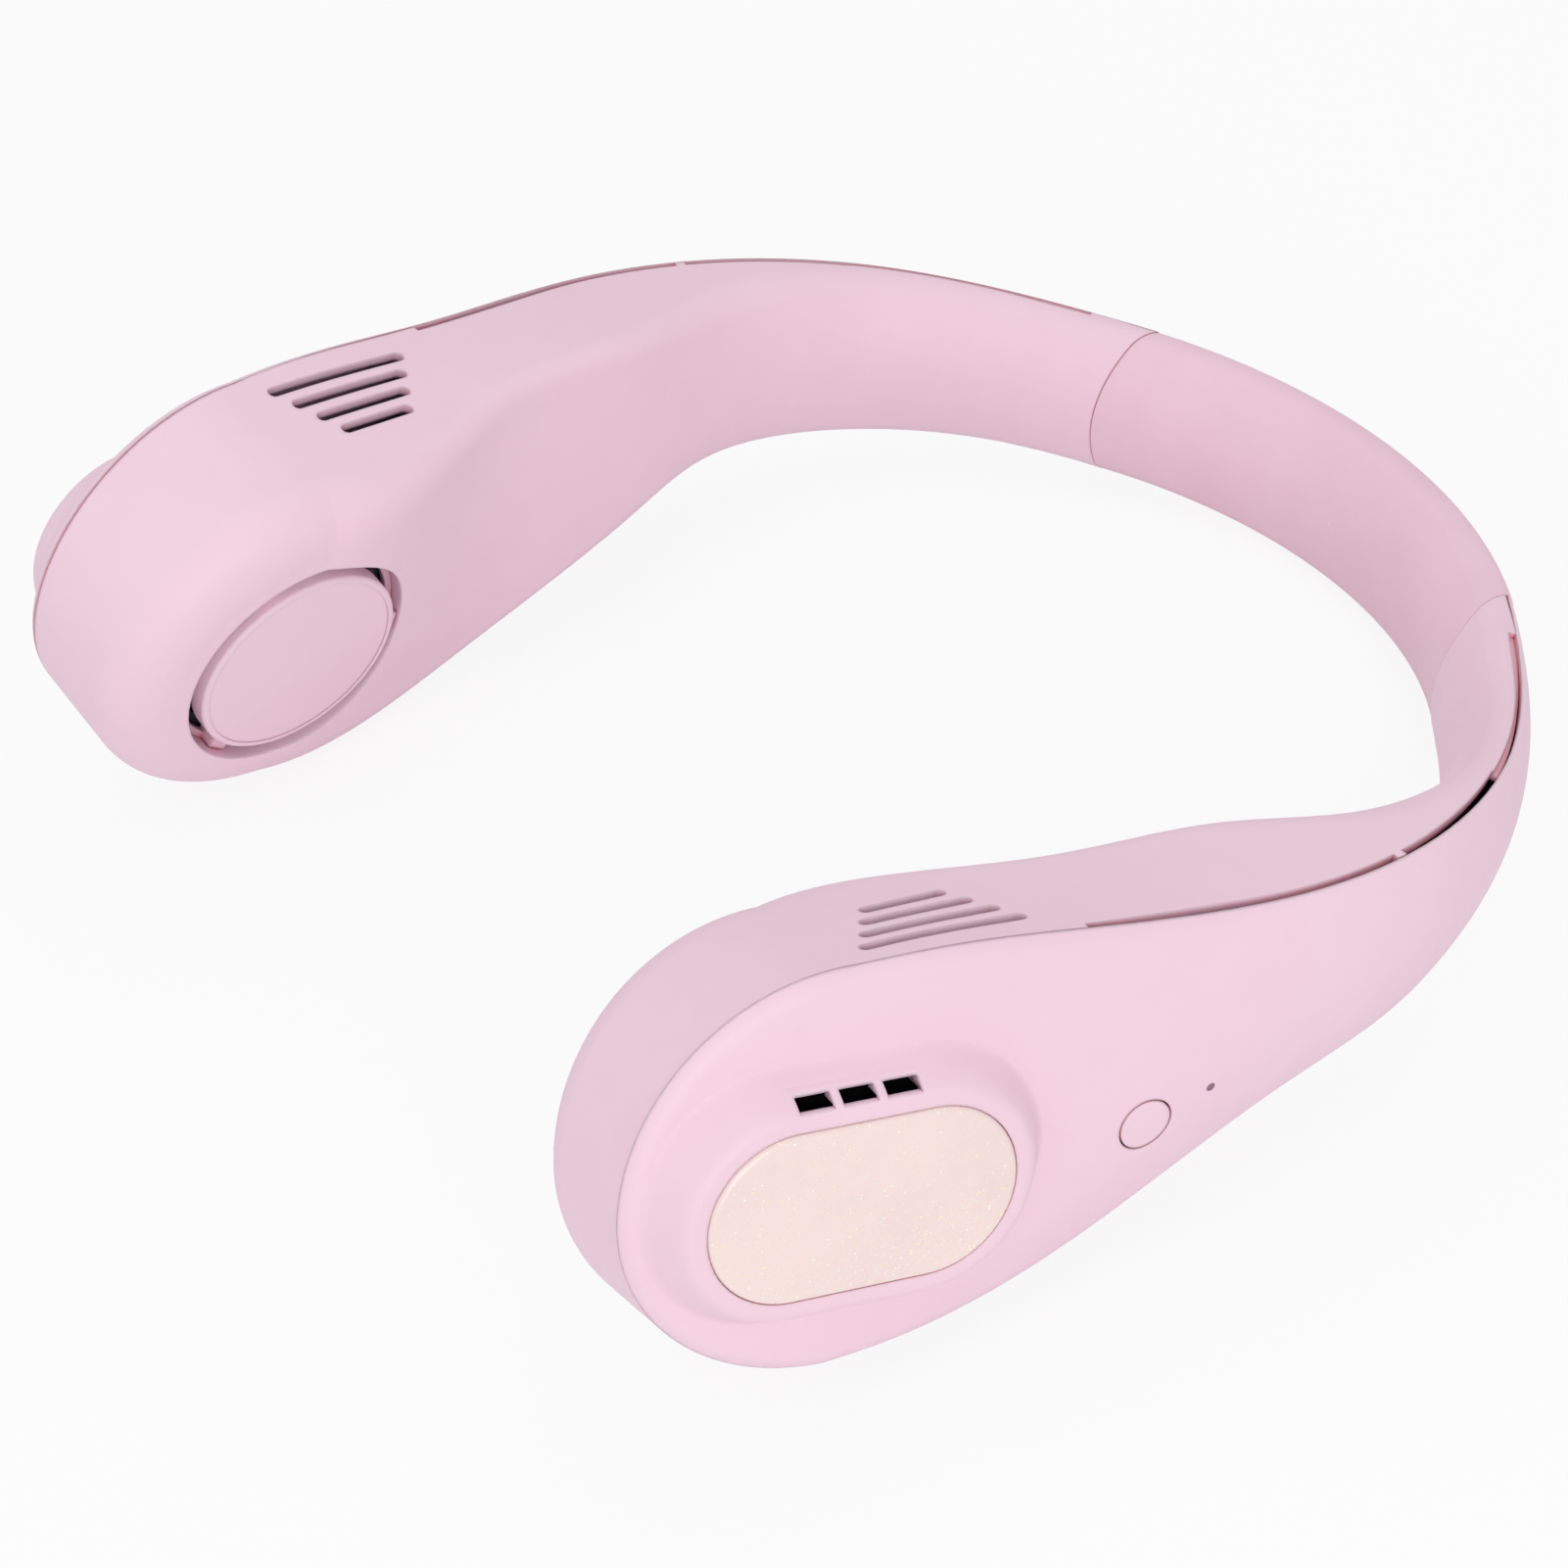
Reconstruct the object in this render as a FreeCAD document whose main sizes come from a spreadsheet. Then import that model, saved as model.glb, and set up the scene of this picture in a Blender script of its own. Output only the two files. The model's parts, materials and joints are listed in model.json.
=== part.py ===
import FreeCAD, Part
import math
import os
import re

import Sketcher
from FreeCAD import Placement, Rotation, Vector

# Electric neck fan: two round fan pods on hollow arms, joined behind the neck by a soft band.
# Millimetres. X runs across the fan, +Y to the back of the neck, +Z up; right is +X.
# The fan lies as on a table: both pods and the band touch Z = 0, and the origin is the middle of its base.
# Shapes are drawn with the rim level and then tilted by one resting placement.

# Driving sizes. Lengths are millimetres and angles are degrees.
SIZES = {
    # Plan of the parting line between shell and cover, from the pod axis to the middle of the band.
    "half_width": 102.0,
    "front_reach": 79.9,
    "toe_angle": 9.5,
    "arm_radius": 85.5,
    "shoulder_angle": 53.0,
    "link_length": 18.0,
    "seam_offset": 47.5,
    "seam_gap": 0.3,
    # Places of the arm's sections, as distances behind the pod axis and angles round the arm's bend.
    "cheek_reach": 17.0,
    "jaw_reach": 42.0,
    "waist_angle": -2.7,
    "elbow_angle": 14.0,
    "wrist_angle": 34.0,
    # Pod: radius of its top and front, and how the shell's axis leans and swings from the cover's.
    "pod_upper": 34.9,
    "pod_slant": 5.8,
    "pod_swing": 3.0,
    # Walls of the casing.
    "shell_wall": 1.8,
    "cover_wall": 1.6,
    "parting_gap": 0.15,
    "cover_edge_rise": 2.3,
    "cover_edge_drop": 2.6,
    "fit_gap": 0.3,
    # Raised boss and glitter panel on the cover.
    "panel_ahead": 0.3,
    "panel_up": 0.9,
    "panel_tilt": 1.1,
    "panel_radius": 14.0,
    "panel_straight": 21.8,
    "panel_thick": 2.2,
    "panel_edge": 1.1,
    "panel_recess": 1.6,
    "panel_gap": 0.06,
    "boss_rise": 5.7,
    "boss_rim": 2.0,
    "boss_flank": 6.0,
    "boss_sink": 0.2,
    "cover_vent_width": 5.6,
    "cover_vent_height": 1.7,
    "cover_vent_pitch": 7.0,
    "cover_vent_lift": 2.5,
    "cover_vent_ahead": 1.1,
    "vent_pocket_margin": 0.6,
    "vent_pocket_roof": 1.0,
    "vent_lip": 1.4,
    "vent_lip_width": 0.3,
    "vent_undercut": 1.8,
    # Slots on the rim over the impeller, and the long outlet slot beside the parting line.
    "rim_slot_radius": 1.1,
    "rim_slot_length": 28.0,
    "rim_slot_step": 4.5,
    "rim_slot_pitch": 4.0,
    "rim_slot_inset": 5.4,
    "rim_slot_reach": 17.9,
    "rim_slot_depth": 13.0,
    "outlet_width": 1.2,
    "outlet_start": 38.9,
    "outlet_rib": 96.9,
    "outlet_rib_width": 1.8,
    "outlet_end": 128.9,
    "groove_end": 172.9,
    "groove_width": 1.0,
    "groove_depth": 0.9,
    # Air intake on the neck side and the disc that stands in it.
    "intake_radius": 21.8,
    "intake_run": 5.0,
    "cap_radius": 19.1,
    "cap_thick": 2.4,
    "cap_proud": 0.3,
    "cap_edge": 0.4,
    "cap_rim": 1.2,
    "cap_dish": 0.2,
    "cap_skirt": 1.4,
    "cap_skirt_wall": 1.4,
    "cap_seat": 4.6,
    "bond_gap": 0.05,
    "cap_ring_width": 1.6,
    "cap_ring_lip": 1.2,
    "cap_ring_thick": 1.5,
    "cap_spoke_width": 4.0,
    "cap_spoke_inner": 12.0,
    # Motor, from the mount on the cap to the rotor's roof.
    "mount_radius": 8.5,
    "mount_thick": 1.5,
    "tube_radius": 3.2,
    "tube_length": 9.6,
    "bearing_radius": 2.5,
    "bearing_width": 2.3,
    "shaft_radius": 1.0,
    "shaft_length": 12.6,
    "shaft_gap": 0.03,
    "stator_radius": 8.2,
    "stator_height": 6.0,
    "stator_lift": 2.0,
    "stator_core": 1.3,
    "stator_tooth": 2.0,
    "air_gap": 0.4,
    "rotor_wall": 1.6,
    "rotor_height": 10.4,
    "rotor_roof": 1.0,
    "rotor_lift": 1.0,
    # Impeller and its volute.
    "hub_wall": 1.2,
    "hub_depth": 6.0,
    "plate_thick": 1.2,
    "blade_inner": 17.0,
    "blade_height": 8.0,
    "blade_thick": 0.8,
    "blade_sweep": 5.0,
    "shroud_width": 4.5,
    "shroud_thick": 1.0,
    "impeller_gap": 4.4,
    "volute_wall": 1.2,
    "volute_gap": 1.0,
    "volute_start": 130.0,
    "volute_span": 160.0,
    "volute_depth": 9.4,
    # Screws.
    "post_radius": 2.3,
    "post_spread": 32.0,
    "screw_radius": 0.9,
    "screw_head_radius": 1.8,
    "screw_head_height": 1.2,
    "screw_length": 6.0,
    "motor_screw_radius": 0.7,
    "motor_screw_head_radius": 1.25,
    "motor_screw_head_height": 0.7,
    "motor_screw_length": 3.0,
    "motor_screw_circle": 6.0,
    # Duct floor, battery and boards in the arm.
    "duct_height": 11.0,
    "floor_thick": 1.2,
    "floor_start": 38.0,
    "floor_end": 123.0,
    "battery_start": 33.0,
    "battery_length": 40.0,
    "battery_thick": 9.0,
    "battery_edge": 1.2,
    "battery_gap": 2.0,
    "board_place": 54.0,
    "board_length": 26.0,
    "board_height": 16.0,
    "board_top": 22.5,
    "board_thick": 1.2,
    "board_depth": 4.2,
    # Power button, its switch and the light pipe.
    "button_place": 50.4,
    "button_drop": 32.6,
    "button_radius": 4.3,
    "button_gap": 0.3,
    "button_travel": 0.4,
    "button_flange": 1.0,
    "flange_thick": 0.8,
    "switch_size": 6.0,
    "switch_height": 2.2,
    "plunger_radius": 1.7,
    "plunger_height": 0.8,
    "light_place": 61.4,
    "light_drop": 28.4,
    "light_radius": 0.6,
    "light_gap": 0.1,
    # Charging socket on the arm's underside.
    "socket_place": 97.0,
    "socket_width": 9.0,
    "socket_thick": 3.2,
    "socket_length": 7.3,
    "socket_wall": 0.35,
    "socket_depth": 8.6,
    "socket_recess": 1.3,
    "tongue_thick": 0.7,
    "tongue_width": 6.6,
    "charge_board_length": 14.0,
    "charge_board_height": 10.0,
    "charge_board_thick": 1.0,
    "charge_board_lift": 2.2,
    # Inside the band: spring strip, wires and the clamps that hold the band to the arms.
    "channel_inner": 5.2,
    "channel_outer": 1.6,
    "channel_top": 7.0,
    "channel_height": 13.4,
    "spring_thick": 0.6,
    "spring_height": 10.6,
    "lead_radius": 1.0,
    "lead_depth": 2.6,
    "clamp_length": 9.0,
    "clamp_tongue": 8.0,
    "clamp_gap": 0.4,
    "clamp_root": 3.0,
    "core_overrun": 6.0,
}

# Sections of the arm, each square to the parting line: half its height, depth towards the neck at its top,
# corner radius on the neck side, bulge of the cover, outward lean of the cover, lift of the top edge and
# crown of the neck side, which is how far its round would fall back over the half height; 0 is flat.
SECTIONS = {
    "pod": (33.2, 32.9, 9.0, 4.5, 8.7, 1.0, 0.0),
    "cheek": (32.3, 33.0, 10.5, 4.8, 8.0, 1.7, 0.0),
    "throat": (32.3, 33.0, 6.5, 4.8, 8.0, 1.7, 0.0),
    "jaw": (27.9, 23.4, 3.4, 5.6, 5.2, 0.5, 0.0),
    "waist": (19.4, 22.6, 4.6, 5.6, -0.8, 0.0, 0.0),
    "elbow": (16.9, 16.9, 6.7, 4.9, -3.0, 0.0, 3.6),
    "wrist": (15.6, 9.3, 5.0, 5.0, -5.4, 0.0, 4.7),
    "tail": (14.0, 7.8, 4.5, 5.0, -7.0, 0.0, 4.4),
    "band": (13.6, 8.0, 4.8, 4.8, -8.0, 0.0, 4.2),
}
MEASURES = ("half", "depth", "corner", "bulge", "lean", "lift", "crown")

RIM_SLOTS = 4
COVER_VENTS = 3
BLADES = 26
STATOR_TEETH = 9
CAP_SPOKES = 3
MOTOR_SCREWS = 3
BOSS_STEPS = 6
BOSS_POINTS = 28
SMALLEST_CORNER = 0.4
OVERLAP = 1.0
PARTING_OVERRUN = 10.0
NECK_REACH = 45.0
FAR = 400.0
BAND_SWEEP = 150.0
MESH_STEP = 0.2
REST_PASSES = 12

doc = FreeCAD.newDocument("neck_fan")
sheet = doc.addObject("Spreadsheet::Sheet", "Sizes")


def fill_sheet():
    """Write every driving size to the sheet, with its name as the cell's alias."""
    sizes = dict(SIZES)
    for station, values in SECTIONS.items():
        sizes.update({f"{station}_{measure}": value for measure, value in zip(MEASURES, values)})
    for row, (name, value) in enumerate(sizes.items(), start=1):
        sheet.set(f"A{row}", name)
        sheet.set(f"B{row}", str(value))
        sheet.setAlias(f"B{row}", name)
    doc.recompute()


def mm(terms):
    """Value of a sum of named sizes, such as 'tube_radius+fit_gap'."""
    total = 0.0
    for sign, name in re.findall(r"([+-]?)([a-z][a-z_]*)", terms):
        total += -getattr(sheet, name) if sign == "-" else getattr(sheet, name)
    return total


def bind(thing, prop, terms):
    """Bind one property to a sum of named sizes."""
    thing.setExpression(prop, re.sub(r"([a-z][a-z_]*)", r"Sizes.\1", terms))


fill_sheet()


# Plan of the arm


class Plan:
    """Plan of the parting line: a straight toe, a bend, a short link and the band's arc."""

    def __init__(self):
        self.toe = math.radians(mm("toe_angle"))
        self.shoulder = math.radians(mm("shoulder_angle"))
        self.bend = mm("arm_radius")
        self.bend_centre = Vector(mm("half_width-arm_radius"), 0, 0)
        link_end = self.bend_centre + self.outward(self.shoulder) * self.bend
        link_end += self.along(self.shoulder) * mm("link_length")
        self.band = link_end.x / math.cos(self.shoulder)
        self.band_centre = link_end - self.outward(self.shoulder) * self.band
        self.to_bend = (mm("front_reach") - self.bend * math.sin(self.toe)) / math.cos(self.toe)
        self.to_link = self.to_bend + self.bend * (self.toe + self.shoulder)
        self.to_band = self.to_link + mm("link_length")

    @staticmethod
    def outward(angle):
        """Unit vector away from the neck."""
        return Vector(math.cos(angle), math.sin(angle), 0)

    @staticmethod
    def along(angle):
        """Unit vector along the arm, towards the band."""
        return Vector(-math.sin(angle), math.cos(angle), 0)

    def bend_reach(self, degrees):
        """Distance behind the pod axis of an angle round the arm's bend."""
        return self.to_bend + self.bend * (self.toe + math.radians(degrees))

    def at(self, reach):
        """Point of the parting line's top edge and its outward angle, a distance behind the pod axis."""
        if reach < self.to_bend:
            corner = self.bend_centre + self.outward(-self.toe) * self.bend
            return corner + self.along(-self.toe) * (reach - self.to_bend), -self.toe
        if reach < self.to_link:
            angle = (reach - self.to_bend) / self.bend - self.toe
            return self.bend_centre + self.outward(angle) * self.bend, angle
        if reach < self.to_band:
            corner = self.bend_centre + self.outward(self.shoulder) * self.bend
            return corner + self.along(self.shoulder) * (reach - self.to_link), self.shoulder
        angle = self.shoulder + (reach - self.to_band) / self.band
        return self.band_centre + self.outward(angle) * self.band, angle


def fade(reach):
    """Share of the pod's slant and swing that is left at a distance from the pod axis."""
    share = (mm("jaw_reach") - abs(reach)) / mm("jaw_reach-cheek_reach")
    return swell(min(max(share, 0.0), 1.0))


def swell(share):
    """Smooth rise from 0 to 1."""
    return (1 - math.cos(math.pi * share)) / 2


class Section:
    """One section of the arm, or a blend of two neighbours; its upper part is drawn, then mirrored down."""

    def __init__(self, reach, values, upper=None):
        self.reach = reach
        self.values = values
        half, self.depth, self.corner, self.bulge, self.lean, self.lift, self.crown = values
        self.height = 2 * half
        self.upper = upper or half
        self.squash = (self.height - self.upper) / self.upper
        share = fade(reach)
        self.frame = axes_at(reach, self.lean, self.lift)
        shell_lean = self.lean + share * mm("pod_slant")
        self.shell_frame = axes_at(reach, shell_lean, self.lift, share * mm("pod_swing"))


def axes_at(reach, lean, lift=0.0, swing=0.0):
    """Axes on the parting line's top edge: X along the arm, Y up the parting face, Z out to the cover."""
    point, angle = plan.at(reach)
    angle += math.radians(swing)
    lean = math.radians(lean)
    outward = plan.outward(angle)
    up = Vector(0, 0, 1)
    across = outward * math.cos(lean) + up * math.sin(lean)
    rise = up * math.cos(lean) - outward * math.sin(lean)
    return Placement(point + up * lift, Rotation(plan.along(angle), rise, across, "XYZ"))


def measures(station):
    """The measures of a named section."""
    return [mm(f"{station}_{measure}") for measure in MEASURES]


def arm_sections():
    """Sections from just ahead of the pod axis to just past the seam, in order along the arm."""
    beyond = plan.to_band + mm("core_overrun+clamp_length")
    places = [
        ("cheek", -mm("cheek_reach")),
        ("pod", 0.0),
        ("throat", mm("cheek_reach")),
        ("jaw", mm("jaw_reach")),
        ("waist", plan.bend_reach(mm("waist_angle"))),
        ("elbow", plan.bend_reach(mm("elbow_angle"))),
        ("wrist", plan.bend_reach(mm("wrist_angle"))),
        ("tail", plan.to_link),
        ("band", plan.to_band),
        ("band", beyond),
    ]
    uppers = {"pod": mm("pod_upper")}
    return [Section(reach, measures(station), uppers.get(station)) for station, reach in places]


def section_at(reach):
    """Section at any distance behind the pod axis, blended from its neighbours."""
    for before, after in zip(sections[1:], sections[2:]):
        if reach <= after.reach:
            share = (reach - before.reach) / (after.reach - before.reach)
            return Section(reach, [a + (b - a) * share for a, b in zip(before.values, after.values)])
    return Section(reach, sections[-1].values)


plan = Plan()
sections = arm_sections()
pod = sections[1]
band = sections[-1]


# Outlines of the casing


def polyline(frame, corners):
    """Closed wire through (outward, up) corners in a section's plane."""
    points = [frame.multVec(Vector(0, up, out)) for out, up in corners]
    return Part.makePolygon(points + points[:1])


def line(frame, start, end):
    """Straight edge between two (outward, up) points of a section."""
    return Part.LineSegment(*(frame.multVec(Vector(0, up, out)) for out, up in (start, end))).toShape()


def arc(frame, start, middle, end):
    """Round edge through three (outward, up) points of a section."""
    return Part.Arc(*(frame.multVec(Vector(0, up, out)) for out, up in (start, middle, end))).toShape()


def lower_half(frame, section, edges):
    """The upper half of a section turned over and squashed to its lower half, in order."""
    turn = FreeCAD.Matrix(1, 0, 0, 0, 0, -section.squash, 0, -section.height, 0, 0, 1, 0, 0, 0, 0, 1)
    matrix = frame.toMatrix() * turn * frame.inverse().toMatrix()
    return [edge.transformGeometry(matrix) for edge in reversed(edges)]


def shell_edges(section, inset, mouth):
    """Shell side of a section, from its top edge round the neck side to its bottom edge."""
    frame = section.shell_frame
    corner = max(section.corner - inset, SMALLEST_CORNER)
    back = inset - section.depth
    if section.crown:
        radius = section.upper * section.upper / (2 * section.crown) - inset
        fall = section.upper - inset - corner
        turn = math.asin(fall / (radius - corner))
        middle = back + radius - (radius - corner) * math.cos(turn)
        wall = arc(frame, round_spot(back + radius, -section.upper, radius, turn),
                   round_spot(back + radius, -section.upper, radius, turn / 2), (back, -section.upper))
    else:
        turn = 0.0
        middle = back + corner
        wall = line(frame, (back, -inset - corner), (back, -section.upper))
    height = -inset - corner
    upper = [
        line(frame, (mouth, -inset), (middle, -inset)),
        arc(frame, (middle, -inset), round_spot(middle, height, corner, (turn + math.pi / 2) / 2),
            round_spot(middle, height, corner, turn)),
        wall,
    ]
    return upper + lower_half(frame, section, upper)


def round_spot(out, up, radius, turn):
    """(outward, up) point of a circle, at an angle above its side towards the neck."""
    return out - radius * math.cos(turn), up + radius * math.sin(turn)


def cover_edges(section, inset, mouth):
    """Cover side of a section, from its top edge over the dome to its bottom edge."""
    frame = section.frame
    rise = section.bulge - inset
    shoulder = mm("cover_edge_rise") - inset
    drop = mm("cover_edge_drop")
    half = section.upper - drop
    sag = rise - shoulder
    dome = (half * half + sag * sag) / (2 * sag)
    normal = Vector(sag / dome - 1, -half / dome, 0)
    chord = Vector(mouth - shoulder, drop - inset, 0)
    radius = chord.dot(chord) / (2 * normal.dot(chord))
    centre = Vector(shoulder, -drop, 0) + normal * radius
    to_middle = Vector((mouth + shoulder) / 2, -(inset + drop) / 2, 0) - centre
    middle = centre + to_middle.normalize() * abs(radius)
    bow = dome - math.sqrt(dome * dome - half * half / 4)
    upper = [
        arc(frame, (mouth, -inset), (middle.x, middle.y), (shoulder, -drop)),
        arc(frame, (shoulder, -drop), (rise - bow, -drop - half / 2), (rise, -section.upper)),
    ]
    return upper + lower_half(frame, section, upper)


def shell_outline(section, inset=0.0, mouth=PARTING_OVERRUN):
    """Closed outline of the shell, or of its cavity when inset; it runs past the parting plane."""
    edges = shell_edges(section, inset, mouth)
    edges.append(line(section.shell_frame, (mouth, inset_foot(section, inset)), (mouth, -inset)))
    return Part.Wire(edges)


def inset_foot(section, inset):
    """Height of a section's lower edge, drawn in by an inset."""
    return (inset * section.squash) - section.height


def cover_outline(section, inset=0.0):
    """Closed outline of the cover, or of its cavity when inset by the wall."""
    mouth = -OVERLAP if inset else mm("parting_gap")
    edges = cover_edges(section, inset, mouth)
    edges.append(line(section.frame, (mouth, inset_foot(section, inset)), (mouth, -inset)))
    return Part.Wire(edges)


def band_outline():
    """Closed outline of the soft band: shell side and cover side in one piece."""
    back = Section(plan.to_band + plan.band * (math.pi / 2 - plan.shoulder), band.values)
    edges = shell_edges(back, 0.0, 0.0) + cover_edges(back, 0.0, 0.0)[::-1]
    return Part.Wire(edges), back.frame


def block(frame, low, high):
    """Plain box between two corners of a frame."""
    box = Part.makeBox(high[0] - low[0], high[1] - low[1], high[2] - low[2], Vector(*low))
    box.Placement = frame
    return box


def slab(low, high):
    """Everything between two places along X."""
    return block(Placement(), (low, -FAR, -FAR), (high, FAR, FAR))


def arm_pieces(outline, axes, *settings):
    """Solids through the arm's sections: the arm behind the pod axis, the pod's upper and its lower front."""
    arm = Part.makeLoft([outline(section, *settings) for section in sections], True)
    arm = arm.common(block(axes, (0, -FAR, -FAR), (2 * FAR, FAR, FAR)))
    above = block(axes, (-OVERLAP, 0, -FAR), (OVERLAP, FAR, FAR))
    half = Part.Face(outline(pod, *settings)).common(above).Faces[0]
    axis = axes.Rotation.multVec(Vector(0, 0, 1))
    front = half.revolve(axes.Base, axis, 90)
    half.rotate(axes.Base, axis, 90)
    squash = FreeCAD.Matrix(1, 0, 0, 0, 0, pod.squash, 0, 0, 0, 0, 1, 0, 0, 0, 0, 1)
    below = half.revolve(axes.Base, axis, 90)
    return [arm, front, below.transformGeometry(axes.toMatrix() * squash * axes.inverse().toMatrix())]


def arm_form(outline, axes, *settings):
    """Solid through the arm's sections, with the pod section turned about the pod axis at its tip."""
    arm, *tip = arm_pieces(outline, axes, *settings)
    return arm.fuse(tip)


def arm_wall(outline, axes, inset, finish):
    """Open wall of a casing half: its form hollowed by an inset, each of its pieces trimmed by finish."""
    pairs = zip(arm_pieces(outline, axes), arm_pieces(outline, axes, inset))
    arm, *tip = [finish(outer.cut(inner)) for outer, inner in pairs]
    return arm.fuse(tip)


def neck_side():
    """Everything on the neck side of the parting surface."""
    low, high = -2 * NECK_REACH, NECK_REACH
    corners = [(-NECK_REACH, low), (0, low), (0, high), (-NECK_REACH, high)]
    arm = Part.makeLoft([polyline(section.frame, corners) for section in sections], True)
    arm = arm.common(block(pod_axes, (0, -FAR, -FAR), (2 * FAR, FAR, FAR)))
    return arm.fuse(block(pod_axes, (-FAR, -FAR, -FAR), (0, FAR, 0)))


def band_form(wire):
    """Solid of a section at the middle of the band, turned both ways round the band's axis."""
    face = Part.Face(wire)
    face.rotate(plan.band_centre, Vector(0, 0, 1), -BAND_SWEEP / 2)
    return face.revolve(plan.band_centre, Vector(0, 0, 1), BAND_SWEEP)


pod_axes = pod.frame.multiply(Placement(Vector(0, -pod.upper, 0), Rotation()))
fan_axes = pod.shell_frame.multiply(Placement(Vector(0, -pod.upper, 0), Rotation()))
seam = mm("seam_offset")
arm_side = slab(seam, FAR)
shell_form = arm_form(shell_outline, fan_axes).common(neck_side())
cover_form = arm_form(cover_outline, pod_axes)
band_wire, band_frame = band_outline()
sleeve = band_form(band_wire).common(slab(-seam + mm("seam_gap"), seam - mm("seam_gap")))


def resting_placement():
    """Tilt and lift that bring both pods and the band down to Z = 0, with the origin amid the base."""
    copies = [shape.copy() for shape in (shell_form, cover_form, sleeve)]
    points = [point for shape in copies for point in shape.tessellate(MESH_STEP)[0]]
    front = [point for point in points if point.y < 0]
    rear = [point for point in points if point.y >= 0]
    tilt = 0.0
    for _ in range(REST_PASSES):
        rotation = Rotation(Vector(1, 0, 0), -math.degrees(tilt))
        low_front = min(front, key=lambda point: rotation.multVec(point).z)
        low_rear = min(rear, key=lambda point: rotation.multVec(point).z)
        tilt = math.atan2(low_rear.z - low_front.z, low_rear.y - low_front.y)
    rotation = Rotation(Vector(1, 0, 0), -math.degrees(tilt))
    turned = [rotation.multVec(point) for point in points]
    middle = (min(point.y for point in turned) + max(point.y for point in turned)) / 2
    return Placement(Vector(0, -middle, -min(point.z for point in turned)), rotation)


rest = resting_placement()
fan_rest = rest.multiply(fan_axes)


# Makers for document objects


def feature(name, shape):
    """Document object for a freeform shape, laid to rest."""
    thing = doc.addObject("Part::Feature", name)
    thing.Shape = shape
    thing.Placement = rest
    return thing


def cylinder(name, radius, height, place, sweep=None):
    """Round bar whose sizes are bound to the sheet."""
    thing = doc.addObject("Part::Cylinder", name)
    bind(thing, "Radius", radius)
    bind(thing, "Height", height)
    if sweep:
        bind(thing, "Angle", sweep)
    thing.Placement = place
    return thing


def box(name, length, width, height, place):
    """Block whose sizes are bound to the sheet."""
    thing = doc.addObject("Part::Box", name)
    for prop, terms in (("Length", length), ("Width", width), ("Height", height)):
        bind(thing, prop, terms)
    thing.Placement = place
    return thing


def fuse(name, things):
    """Join several objects."""
    thing = doc.addObject("Part::MultiFuse", name)
    thing.Shapes = things
    return thing


def group(name, things):
    """Several separate solids under one name."""
    thing = doc.addObject("Part::Compound", name)
    thing.Links = things
    return thing


def cut(name, base, tool):
    """Take one object out of another."""
    thing = doc.addObject("Part::Cut", name)
    thing.Base = base
    thing.Tool = tool
    return thing


def common(name, base, tool):
    """Keep what two objects share."""
    thing = doc.addObject("Part::Common", name)
    thing.Base = base
    thing.Tool = tool
    return thing


def shifted(frame, x, y, z, turn=0.0):
    """A frame moved along its own axes and turned about its Z axis."""
    return frame.multiply(Placement(Vector(x, y, z), Rotation(Vector(0, 0, 1), turn)))


def body_plane(body, role):
    """One of a body's origin planes."""
    return next(plane for plane in body.Origin.OriginFeatures if plane.Role == role)


def blank_sketch(body, role, name):
    """Empty sketch on one of a body's origin planes."""
    sketch = body.newObject("Sketcher::SketchObject", name)
    sketch.AttachmentSupport = [(body_plane(body, role), "")]
    sketch.MapMode = "FlatFace"
    return sketch


def outline_sketch(body, role, name, corners):
    """Closed polygon whose corners are bound to sums of named sizes; an empty sum lies on the axis."""
    sketch = blank_sketch(body, role, name)
    points = [Vector(mm(x), mm(y), 0) for x, y in corners]
    count = len(points)
    for index in range(count):
        sketch.addGeometry(Part.LineSegment(points[index], points[(index + 1) % count]), False)
    for index in range(count):
        sketch.addConstraint(Sketcher.Constraint("Coincident", index, 2, (index + 1) % count, 1))
    for index, (x, y) in enumerate(corners):
        spot = points[index]
        for kind, terms, value, axis in (("DistanceX", x, spot.x, -2), ("DistanceY", y, spot.y, -1)):
            if terms:
                number = sketch.addConstraint(Sketcher.Constraint(kind, -1, 1, index, 1, value))
                bind(sketch, f"Constraints[{number}]", terms)
            else:
                sketch.addConstraint(Sketcher.Constraint("PointOnObject", index, 1, axis))
    return sketch


def stadium_sketch(body, role, name, radius, straight):
    """Round-ended outline with a bound radius and straight length, centred on the origin."""
    sketch = blank_sketch(body, role, name)
    reach = mm(straight) / 2
    size = mm(radius)
    right, left = Vector(reach, 0, 0), Vector(-reach, 0, 0)
    quarter = math.pi / 2
    axis = Vector(0, 0, 1)
    sketch.addGeometry(Part.ArcOfCircle(Part.Circle(right, axis, size), -quarter, quarter), False)
    sketch.addGeometry(Part.LineSegment(Vector(reach, size, 0), Vector(-reach, size, 0)), False)
    sketch.addGeometry(Part.ArcOfCircle(Part.Circle(left, axis, size), quarter, 3 * quarter), False)
    sketch.addGeometry(Part.LineSegment(Vector(-reach, -size, 0), Vector(reach, -size, 0)), False)
    for first, first_end, second, second_end in ((0, 2, 1, 1), (1, 2, 2, 1), (2, 2, 3, 1), (3, 2, 0, 1)):
        sketch.addConstraint(Sketcher.Constraint("Tangent", first, first_end, second, second_end))
    sketch.addConstraint(Sketcher.Constraint("Symmetric", 0, 3, 2, 3, -1, 1))
    sketch.addConstraint(Sketcher.Constraint("Horizontal", 1))
    round_end = sketch.addConstraint(Sketcher.Constraint("Radius", 0, size))
    bind(sketch, f"Constraints[{round_end}]", radius)
    length = sketch.addConstraint(Sketcher.Constraint("DistanceX", 2, 3, 0, 3, 2 * reach))
    bind(sketch, f"Constraints[{length}]", straight)
    return sketch


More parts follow.
